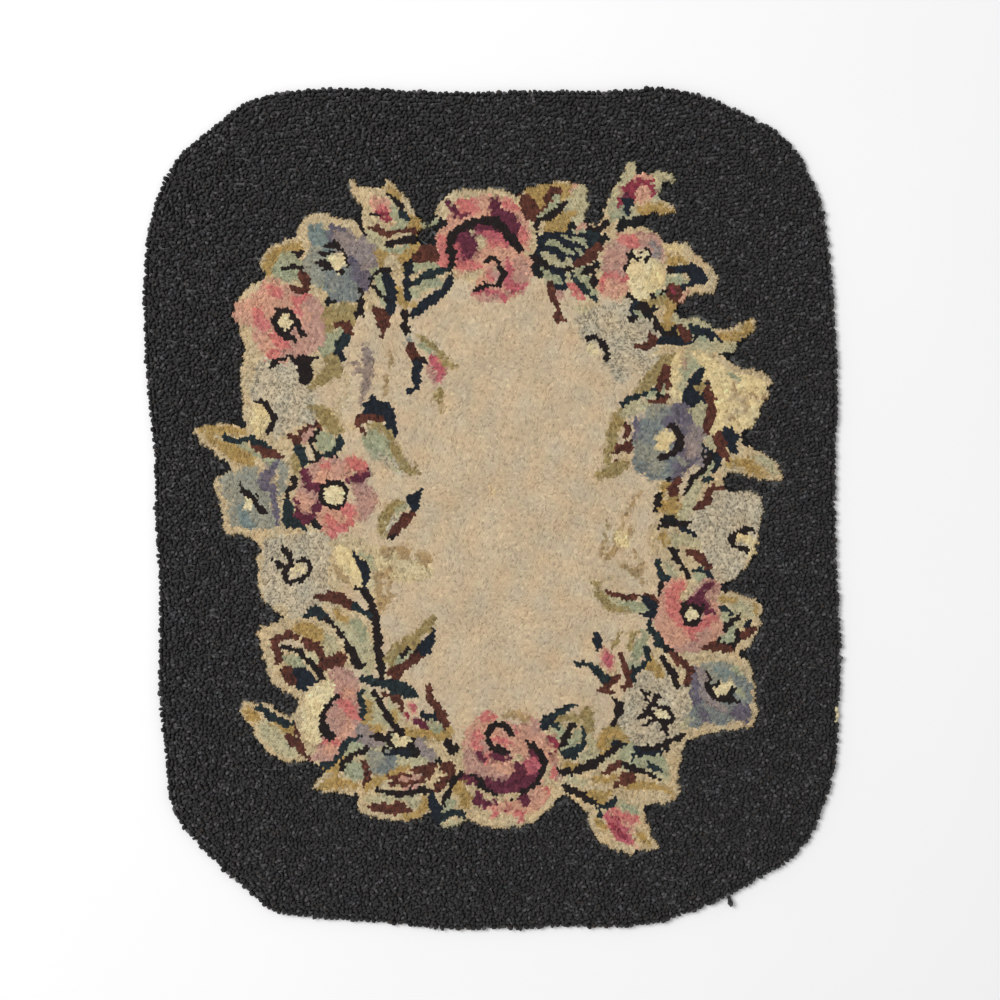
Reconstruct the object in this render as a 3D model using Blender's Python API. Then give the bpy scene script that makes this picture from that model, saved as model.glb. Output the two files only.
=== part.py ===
"""A small hooked rug, lying flat on the floor with its pile up.

Metres, with +Z up. The rug's top edge is at +Y and the origin is on the floor, under the middle of the rug.
"""

import math

import bmesh
import bpy
from mathutils import Vector

MM = 0.001

# Size of the whole rug, in metres
WIDTH = 0.660
LENGTH = 0.797
THICKNESS = 0.0072
# How far the rounded rim reaches in from the edge
RIM_DEPTH = 0.0045

# The edge seen from above: x and y in millimetres from the middle, clockwise from the top left corner.
# The edge is smooth between these points, which are its corners, dips and swells.
EDGE_MM = (
    (-207, 393), (-134, 398), (-38, 394.5), (46, 396), (114, 396), (163, 398.5),
    (208, 388), (254, 366), (277, 351), (303, 312), (313, 282), (321, 219), (327, 122),
    (325, 46), (326, -49), (330, -128), (328, -200), (325, -242), (312, -287),
    (292, -324), (249, -353), (196, -380), (143, -395), (73, -397), (-53, -398.5),
    (-111, -392), (-183, -387), (-207, -382), (-231, -364), (-274, -324), (-303, -286),
    (-309, -242), (-316, -169), (-315, -110), (-319, -21), (-321, 51), (-330, 158),
    (-329, 234), (-321, 284), (-297, 334), (-269, 358), (-236, 383),
)
STEPS_BETWEEN_POINTS = 5

# Rings of the mesh: round the rim, and from the rim to the middle
RIM_STEPS = 6
TOP_RINGS = 15

# Waves of the pile's top: depth and length in millimetres, heading and phase in degrees
WAVES = (
    (0.28, 190, 20, 40),
    (0.22, 131, 112, 150),
    (0.16, 83, 65, 275),
)
# The waves fade out over this distance from the rim
FADE = 0.040

CHARCOAL = (0.026, 0.024, 0.026, 1.0)
WOOL_ROUGHNESS = 0.95


def clear_scene():
    for thing in list(bpy.data.objects):
        bpy.data.objects.remove(thing, do_unlink=True)


def wool_material():
    material = bpy.data.materials.new("charcoal_wool")
    material.use_nodes = True
    shader = material.node_tree.nodes["Principled BSDF"]
    shader.inputs["Base Color"].default_value = CHARCOAL
    shader.inputs["Roughness"].default_value = WOOL_ROUGHNESS
    shader.inputs["Metallic"].default_value = 0.0
    material.diffuse_color = CHARCOAL
    return material


def edge_curve():
    """The rug's edge as a closed smooth curve, kept as a guide that the render leaves out."""
    curve = bpy.data.curves.new("edge", "CURVE")
    curve.dimensions = "2D"
    curve.fill_mode = "NONE"
    curve.resolution_u = STEPS_BETWEEN_POINTS
    spline = curve.splines.new("BEZIER")
    spline.bezier_points.add(len(EDGE_MM) - 1)
    spline.use_cyclic_u = True
    for knot, (x, y) in zip(spline.bezier_points, EDGE_MM):
        knot.co = (x * MM, y * MM, 0.0)
        knot.handle_left_type = "AUTO"
        knot.handle_right_type = "AUTO"
    guide = bpy.data.objects.new("edge_guide", curve)
    guide.hide_render = True
    bpy.context.scene.collection.objects.link(guide)
    return guide


def edge_points(guide):
    """Points along the curve, fitted to the rug's width and length about its middle."""
    bpy.context.view_layer.update()
    graph = bpy.context.evaluated_depsgraph_get()
    evaluated = guide.evaluated_get(graph)
    mesh = evaluated.to_mesh()
    points = [vertex.co.copy() for vertex in mesh.vertices]
    evaluated.to_mesh_clear()
    left = min(point.x for point in points)
    right = max(point.x for point in points)
    low = min(point.y for point in points)
    high = max(point.y for point in points)
    fitted = []
    for point in points:
        x = (point.x - (left + right) / 2) * WIDTH / (right - left)
        y = (point.y - (low + high) / 2) * LENGTH / (high - low)
        fitted.append(Vector((x, y, 0.0)))
    return fitted


def inward_directions(points):
    """At each point of the edge, the level direction square to the edge and into the rug."""
    directions = []
    for index, point in enumerate(points):
        before = points[index - 1]
        after = points[(index + 1) % len(points)]
        along = (after - before).normalized()
        across = Vector((along.y, -along.x, 0.0))
        if across.dot(point) > 0.0:
            across.negate()
        directions.append(across)
    return directions


def wave_height(x, y, from_rim):
    """How far the pile's top is above or below its even height."""
    height = 0.0
    for depth, length, heading, phase in WAVES:
        angle = math.radians(heading)
        along = x * math.cos(angle) + y * math.sin(angle)
        turn = 2.0 * math.pi * along / (length * MM) + math.radians(phase)
        height += depth * MM * math.sin(turn)
    share = min(1.0, from_rim / FADE)
    return height * share * share * (3.0 - 2.0 * share)


def rim_place(point, inward, step):
    """A place on the rounded rim, from the floor at step 0 to the top of the pile at the last step."""
    angle = math.pi * (step / RIM_STEPS - 0.5)
    place = point + inward * (RIM_DEPTH * (1.0 - math.cos(angle)))
    place.z = THICKNESS / 2 * (1.0 + math.sin(angle))
    return place


def top_place(rim_top, ring):
    """A place on the pile's top, part of the way from the rim to the middle."""
    place = rim_top * (1.0 - ring / (TOP_RINGS + 1))
    from_rim = (rim_top.xy - place.xy).length
    place.z = THICKNESS + wave_height(place.x, place.y, from_rim)
    return place


def extrude_ring(shape, ring, station, places):
    """Extrudes the open ring of edges and moves each new point to the place of its station."""
    grown = bmesh.ops.extrude_edge_only(shape, edges=ring)["geom"]
    points = {item for item in grown if isinstance(item, bmesh.types.BMVert)}
    for point in points:
        point.co = places[point[station]]
    new_ring = []
    for point in points:
        for edge in point.link_edges:
            if edge.other_vert(point) in points and edge not in new_ring:
                new_ring.append(edge)
    return new_ring


def close_ring(shape, ring, middle_height):
    """Fills a ring with triangles that meet over the middle of the rug."""
    face = bmesh.ops.edgeloop_fill(shape, edges=ring)["faces"][0]
    middle = bmesh.ops.poke(shape, faces=[face])["verts"][0]
    middle.co = Vector((0.0, 0.0, middle_height))


def build_rug():
    guide = edge_curve()
    points = edge_points(guide)
    inward = inward_directions(points)
    shape = bmesh.new()
    station = shape.verts.layers.int.new("station")
    first = []
    for index, point in enumerate(points):
        corner = shape.verts.new(rim_place(point, inward[index], 0))
        corner[station] = index
        first.append(corner)
    ring = [shape.edges.new((first[index - 1], first[index])) for index in range(len(first))]
    close_ring(shape, ring, 0.0)
    for step in range(1, RIM_STEPS + 1):
        places = [rim_place(point, way, step) for point, way in zip(points, inward)]
        ring = extrude_ring(shape, ring, station, places)
    rim_top = places
    for number in range(1, TOP_RINGS + 1):
        places = [top_place(point, number) for point in rim_top]
        ring = extrude_ring(shape, ring, station, places)
    close_ring(shape, ring, THICKNESS + wave_height(0.0, 0.0, FADE))
    bmesh.ops.recalc_face_normals(shape, faces=shape.faces[:])
    mesh = bpy.data.meshes.new("rug")
    shape.to_mesh(mesh)
    shape.free()
    rug = bpy.data.objects.new("rug", mesh)
    rug.data.materials.append(wool_material())
    bpy.context.scene.collection.objects.link(rug)
    return rug


clear_scene()
build_rug()
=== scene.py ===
"""The looks of a small hooked rug: looped wool on burlap, lying flat with its pile up.

Metres. The rug's top edge is at +Y. The pattern is laid out in millimetres from the rug's middle.
"""

import math
from collections import namedtuple

import bmesh
import bpy
import numpy as np
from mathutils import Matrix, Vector
from mathutils.bvhtree import BVHTree
from mathutils.kdtree import KDTree


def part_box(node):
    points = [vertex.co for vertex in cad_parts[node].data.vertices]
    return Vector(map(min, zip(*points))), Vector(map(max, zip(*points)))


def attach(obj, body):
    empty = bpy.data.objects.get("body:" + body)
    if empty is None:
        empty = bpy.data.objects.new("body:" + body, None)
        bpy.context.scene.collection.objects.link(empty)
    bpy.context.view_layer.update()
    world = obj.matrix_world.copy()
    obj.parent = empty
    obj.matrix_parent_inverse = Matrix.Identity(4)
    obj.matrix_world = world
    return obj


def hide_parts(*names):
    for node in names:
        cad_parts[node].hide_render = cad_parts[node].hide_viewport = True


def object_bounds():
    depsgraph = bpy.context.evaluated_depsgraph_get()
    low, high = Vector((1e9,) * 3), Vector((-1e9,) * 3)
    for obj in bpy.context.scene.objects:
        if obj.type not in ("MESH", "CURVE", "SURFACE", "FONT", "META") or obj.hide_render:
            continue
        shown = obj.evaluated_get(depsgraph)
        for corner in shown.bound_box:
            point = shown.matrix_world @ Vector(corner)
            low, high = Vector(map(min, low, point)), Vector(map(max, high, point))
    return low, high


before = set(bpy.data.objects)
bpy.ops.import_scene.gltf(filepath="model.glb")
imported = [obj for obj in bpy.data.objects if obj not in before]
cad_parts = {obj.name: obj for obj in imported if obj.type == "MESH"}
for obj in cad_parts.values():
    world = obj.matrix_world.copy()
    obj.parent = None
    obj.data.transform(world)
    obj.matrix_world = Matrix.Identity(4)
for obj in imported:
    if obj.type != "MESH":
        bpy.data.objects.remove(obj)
CAD_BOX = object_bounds()

MM = 0.001
rng = np.random.default_rng(1931)

# Studio: the lamp's place, size and power, the light of the room, and the two tints of the floor
LAMP_PLACE = (-2.72, 1.2, 4.0)
LAMP_SIZE = 2.9
LAMP_POWER = 230.0
ROOM_TINT = (1.0, 0.995, 0.985, 1.0)
ROOM_LIGHT = 0.62
FLOOR_TINTS = ((0.722, 0.722, 0.732, 1.0), (0.750, 0.750, 0.756, 1.0))
FLOOR_SIZE = 8.0
FLOOR_LEVEL = -0.0002
THREAD_TINTS = ((0.42, 0.32, 0.19, 1.0), (0.30, 0.22, 0.13, 1.0))
WOOL_GLOSS = 0.28

# Camera: straight above, with the rug a little left of and below the middle of the view
CAMERA_HEIGHT = 2.0
VIEW_WIDTH = 0.9455
VIEW_CENTRE = (0.0076, 0.0080)
SENSOR_MM = 36.0

# Foundation: its upper side, how far it stays inside the rug's edge, and the hem turned under it
BURLAP_TOP = 0.0014
BURLAP_INSET = 0.0018
HEM_WIDTH = 0.022
HEM_STEP = 0.0004
BACK_CELL = 0.0034
STITCH_STEP = 0.0085
STITCH_LENGTH = 0.0070
STITCH_WIDTH = 0.0009
STITCH_LEVEL = 0.00028
STITCH_RISE = 0.00026
STITCH_SLANT = 0.6
STITCH_ROUGH = 0.12
EDGE_STEP = 0.0008
BARE_SHARE = 0.16
BURLAP_TAN = (0.36, 0.27, 0.16)
BURLAP_FADE = (0.85, 1.1)

# Pile: rows along the rug's edge, then level rows inside them
ROW_PITCH = 0.00335
LOOP_PITCH = 0.00310
RIM_ROWS = 3
RIM_PITCH = 0.00500
FIRST_ROW_INSET = 0.0019
ROUGH_PLACE = 0.00050
RIM_ROUGH = (-0.0007, 0.0004)
RIM_LEAN = 0.30
ROW_LEAN = 0.08
LEVEL_ROOM = RIM_ROWS - 0.60
ROW_HEADING = 0.7
HEADING_SWAY = ((0.35, 0.040, 6),)
# Slow waves in the rows and in the grid of cells: the size, length and seed of each
ROW_SWAY = ((0.0011, 0.060, 3), (0.0007, 0.019, 4))
COLUMN_SWAY = ((0.0009, 0.024, 5),)
CELL_SWAY_X = ((0.0020, 0.090, 31), (0.0006, 0.013, 32))
CELL_SWAY_Y = ((0.0024, 0.080, 33), (0.0006, 0.013, 34))
# One loop's shape, one unit in radius and one high: the radius and height of its shoulder
SHOULDER = (0.80, 0.5)
BRIGHTEST = 0.86

# Wear at the rim: a loose end at the lower right, as x, y, heading, lean in x and y, and row; and a stretch of the
# right edge where light wool shows, as its middle and half its length along Y
LOOSE_END = ((0.2246, -0.3690, -1.45, 0.1, -0.5, 0), (0.2254, -0.3728, -1.35, 0.1, -0.6, 0))
WORN_EDGE = (-0.1935, 0.0075)

# How each kind of loop in the ground is hooked: length and width in millimetres, how full it is at its shoulder,
# how far some stand lower in millimetres, how much their headings differ, how far they lean, and their light
LoopKind = namedtuple("LoopKind", "length width shoulder drop turn lean light")
LOOP_KINDS = {
    "ground": LoopKind(5.1, 3.2, 0.76, 1.20, 0.80, 0.20, 1.10),
    "rim": LoopKind(6.6, 4.2, 0.78, 0.60, 0.45, 0.16, 1.10),
}

# The loops of the wreath and the middle stand close and level, each in a six-sided cell of its own
CELL_LENGTH = 0.00255
CELL_WIDTH = 0.00240
CELL_REACH = (0.306, 0.353)
ROUGH_CORNER = 0.00028
POCKET_CELLS = 3
SLIVER_CELLS = 1
CELL_SPREAD = 0.0005
NUB_GAP = 0.00265

# How each kind of cell looks: the groove round it and how far some stand lower, in millimetres, the share of its
# corners that are open pits, the painted shade in a pit, how much the shades of its loops differ, and its light
CellKind = namedtuple("CellKind", "groove drop pits pit_shade grain light")
CELL_KINDS = {
    "field": CellKind(0.58, 0.18, 0.10, 0.74, 0.060, 0.98),
    "wreath": CellKind(0.72, 0.30, 0.16, 0.66, 0.11, 0.94),
    "tweed": CellKind(0.66, 0.28, 0.30, 0.46, 0.12, 0.96),
    "dark": CellKind(0.80, 0.40, 0.16, 0.55, 0.24, 2.60),
}
# Yarns of outlines and pockets, whose edges stay crisp; the loops of all others mingle where two yarns meet
DARK_YARNS = ("pocket", "navy", "teal", "umber", "soot")
MINGLE_MM = 1.7


def place_camera():
    camera = bpy.data.objects.new("camera", bpy.data.cameras.new("camera"))
    rug_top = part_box("rug")[1][2]
    camera.location = (VIEW_CENTRE[0], VIEW_CENTRE[1], CAMERA_HEIGHT)
    camera.data.sensor_width = SENSOR_MM
    camera.data.lens = SENSOR_MM * (CAMERA_HEIGHT - rug_top) / VIEW_WIDTH
    bpy.context.scene.collection.objects.link(camera)
    bpy.context.scene.camera = camera


place_camera()


# Yarns, as [share, red, green, blue] of each shade that was spun or dyed into them, in display colours
YARNS = {
    "charcoal": [
        # The lightest charcoal shade, on a few loops, is painted highlight: bright specks on the tops of the loops.
        (6, 44, 42, 44), (3, 33, 32, 34), (3, 56, 54, 56), (1.2, 84, 82, 84), (1, 52, 46, 42), (0.5, 58, 62, 60),
    ],
    "pocket": [(4, 42, 39, 41), (2, 34, 32, 34), (1, 50, 46, 47)],
    "cream": [(5, 203, 181, 149), (3, 198, 175, 146), (2, 205, 187, 152)],
    "custard": [(3, 205, 186, 144), (2, 199, 178, 138)],
    "sand": [(3, 196, 174, 136), (2, 187, 164, 126), (2, 202, 183, 147)],
    "straw": [(3, 172, 146, 106), (2, 162, 136, 98)],
    "mustard": [(3, 168, 138, 80), (2, 156, 128, 76), (2, 178, 148, 92)],
    "olive": [(3, 150, 130, 84), (2, 160, 142, 96), (1, 137, 118, 74)],
    "mint": [(3, 159, 159, 127), (2, 147, 149, 119), (1, 173, 172, 140)],
    "sage": [(3, 182, 172, 136), (2, 170, 162, 130), (1, 188, 179, 143)],
    "stone": [(3, 145, 143, 127), (2, 135, 135, 123), (1, 156, 152, 131)],
    "dun": [(3, 148, 130, 118), (2, 138, 121, 111)],
    "navy": [(3, 40, 52, 66), (2, 46, 58, 72), (1, 34, 42, 56)],
    "teal": [(3, 50, 68, 72), (2, 42, 60, 66), (1, 66, 84, 86)],
    "umber": [(3, 140, 77, 59), (2, 126, 69, 54), (1, 154, 92, 72)],
    "soot": [(3, 46, 32, 30), (2, 54, 38, 34)],
    "coral": [(3, 197, 113, 106), (2, 187, 101, 100), (2, 203, 129, 116)],
    "salmon": [(3, 201, 150, 126), (2, 191, 141, 120), (2, 208, 160, 134)],
    "blush": [(3, 181, 139, 123), (2, 172, 129, 117), (2, 189, 150, 132)],
    "rose": [(3, 182, 94, 100), (2, 170, 84, 94), (1, 194, 112, 112)],
    "plum": [(3, 96, 38, 56), (2, 82, 32, 48), (1, 114, 52, 68)],
    "garnet": [(3, 136, 50, 64), (2, 124, 44, 58), (1, 150, 62, 72)],
    "slate": [(3, 123, 127, 122), (2, 111, 117, 117), (1, 137, 139, 128)],
    "duck": [(3, 118, 129, 124), (2, 108, 121, 119), (1, 132, 141, 131)],
    "violet": [(3, 98, 91, 103), (2, 110, 102, 110), (1, 88, 82, 98)],
    "mauve": [(3, 145, 131, 125), (2, 135, 122, 121), (1, 155, 141, 131)],
    "oat": [(4, 198, 184, 156), (3, 190, 176, 150), (2, 180, 167, 142), (0.6, 156, 146, 128)],
    "ivory": [(3, 222, 205, 162), (1, 214, 195, 152)],
    "butter": [(3, 219, 197, 147), (2, 211, 188, 139), (1, 224, 204, 157)],
}
YARN_NAMES = list(YARNS)


def drift(x, y, length, seed):
    """A smooth wandering value over the rug, about -2 to 2, that changes over the given length."""
    dice = np.random.default_rng(seed)
    total = np.zeros_like(x)
    waves = 7
    for _ in range(waves):
        heading = dice.uniform(0.0, 2.0 * math.pi)
        stride = 2.0 * math.pi / (length * dice.uniform(0.7, 1.9))
        phase = dice.uniform(0.0, 2.0 * math.pi)
        total += np.sin((x * math.cos(heading) + y * math.sin(heading)) * stride + phase)
    return total * math.sqrt(2.0 / waves)


def smooth_path(points, steps=4):
    """Points along a smooth line through the given ones; every column, the width too, changes smoothly."""
    knots = np.array(points, float)
    padded = np.vstack([2 * knots[0] - knots[1], knots, 2 * knots[-1] - knots[-2]])
    share = np.linspace(0.0, 1.0, steps, endpoint=False)[:, None]
    made = []
    for a, b, c, d in zip(padded, padded[1:], padded[2:], padded[3:]):
        bend = 2 * a - 5 * b + 4 * c - d
        turn = 3 * b - a - 3 * c + d
        made.append(b + 0.5 * ((c - a) * share + bend * share ** 2 + turn * share ** 3))
    return np.vstack(made + [knots[-1:]])


def span_gap(x, y, start, end):
    """How far each place is from a straight span, and the share of the span at which it is nearest."""
    span = end[:2] - start[:2]
    share = ((x - start[0]) * span[0] + (y - start[1]) * span[1]) / max(span @ span, 1e-12)
    share = share.clip(0.0, 1.0)
    return np.hypot(x - start[0] - share * span[0], y - start[1] - share * span[1]), share


def swayed(place, x, y, waves):
    """One coordinate of places, moved by slow waves over the rug, each with its size, length and seed."""
    for size, length, seed in waves:
        place = place + size * drift(x, y, length, seed)
    return place


def add_object(name, data):
    made = bpy.data.objects.new(name, data)
    bpy.context.scene.collection.objects.link(made)
    return made


class Pattern:
    """The yarn of every loop, drawn mark by mark in millimetres. A later mark covers an earlier one."""

    def __init__(self, x, y):
        self.x = x + 0.7 * drift(x, y, 9.0, 11)
        self.y = y + 0.7 * drift(x, y, 9.0, 12)
        self.yarn = np.full(x.shape, YARN_NAMES.index("charcoal"))

    def oval(self, yarn, x, y, half_width, half_length, power=2.0):
        reach = np.abs((self.x - x) / half_width) ** power + np.abs((self.y - y) / half_length) ** power
        self.yarn[reach < 1.0] = YARN_NAMES.index(yarn)

    def petal(self, yarn, x, y, heading, length, width):
        """A petal from a flower's middle outward, with its heading in degrees."""
        angle = math.radians(heading)
        along = (self.x - x) * math.cos(angle) + (self.y - y) * math.sin(angle)
        across = (self.y - y) * math.cos(angle) - (self.x - x) * math.sin(angle)
        share = (along / length).clip(0.0, 1.0)
        half = width / 2 * np.sqrt((1.0 - share) * (0.25 + 3.0 * share)) / 1.02
        self.yarn[(along > 0.0) & (along < length) & (np.abs(across) < half)] = YARN_NAMES.index(yarn)

    def stroke(self, yarn, points):
        """A brush stroke through points of x, y and width."""
        path = smooth_path(points)
        spare = path[:, 2].max()
        low = path[:, :2].min(axis=0) - spare
        high = path[:, :2].max(axis=0) + spare
        near = np.nonzero((self.x > low[0]) & (self.x < high[0]) & (self.y > low[1]) & (self.y < high[1]))[0]
        x, y = self.x[near], self.y[near]
        inside = np.zeros(near.size, bool)
        for start, end in zip(path, path[1:]):
            gap, share = span_gap(x, y, start, end)
            inside |= gap < (start[2] + share * (end[2] - start[2])) / 2
        self.yarn[near[inside]] = YARN_NAMES.index(yarn)

    def draw(self, marks):
        """Draws marks written as text: a yarn, then an oval or petal with its numbers, or a stroke's points.

        Each mark has its own line, and goes on in the next one after a comma. A line after # is a comment.
        """
        for line in marks.strip().replace(",\n", ",").splitlines():
            yarn, mark = line.split(None, 1)
            shape, *numbers = mark.split()
            if yarn == "#":
                continue
            if shape == "oval":
                self.oval(yarn, *map(float, numbers))
            elif shape == "petal":
                self.petal(yarn, *map(float, numbers))
            else:
                self.stroke(yarn, [[float(number) for number in point.split()] for point in mark.split(",")])


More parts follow.
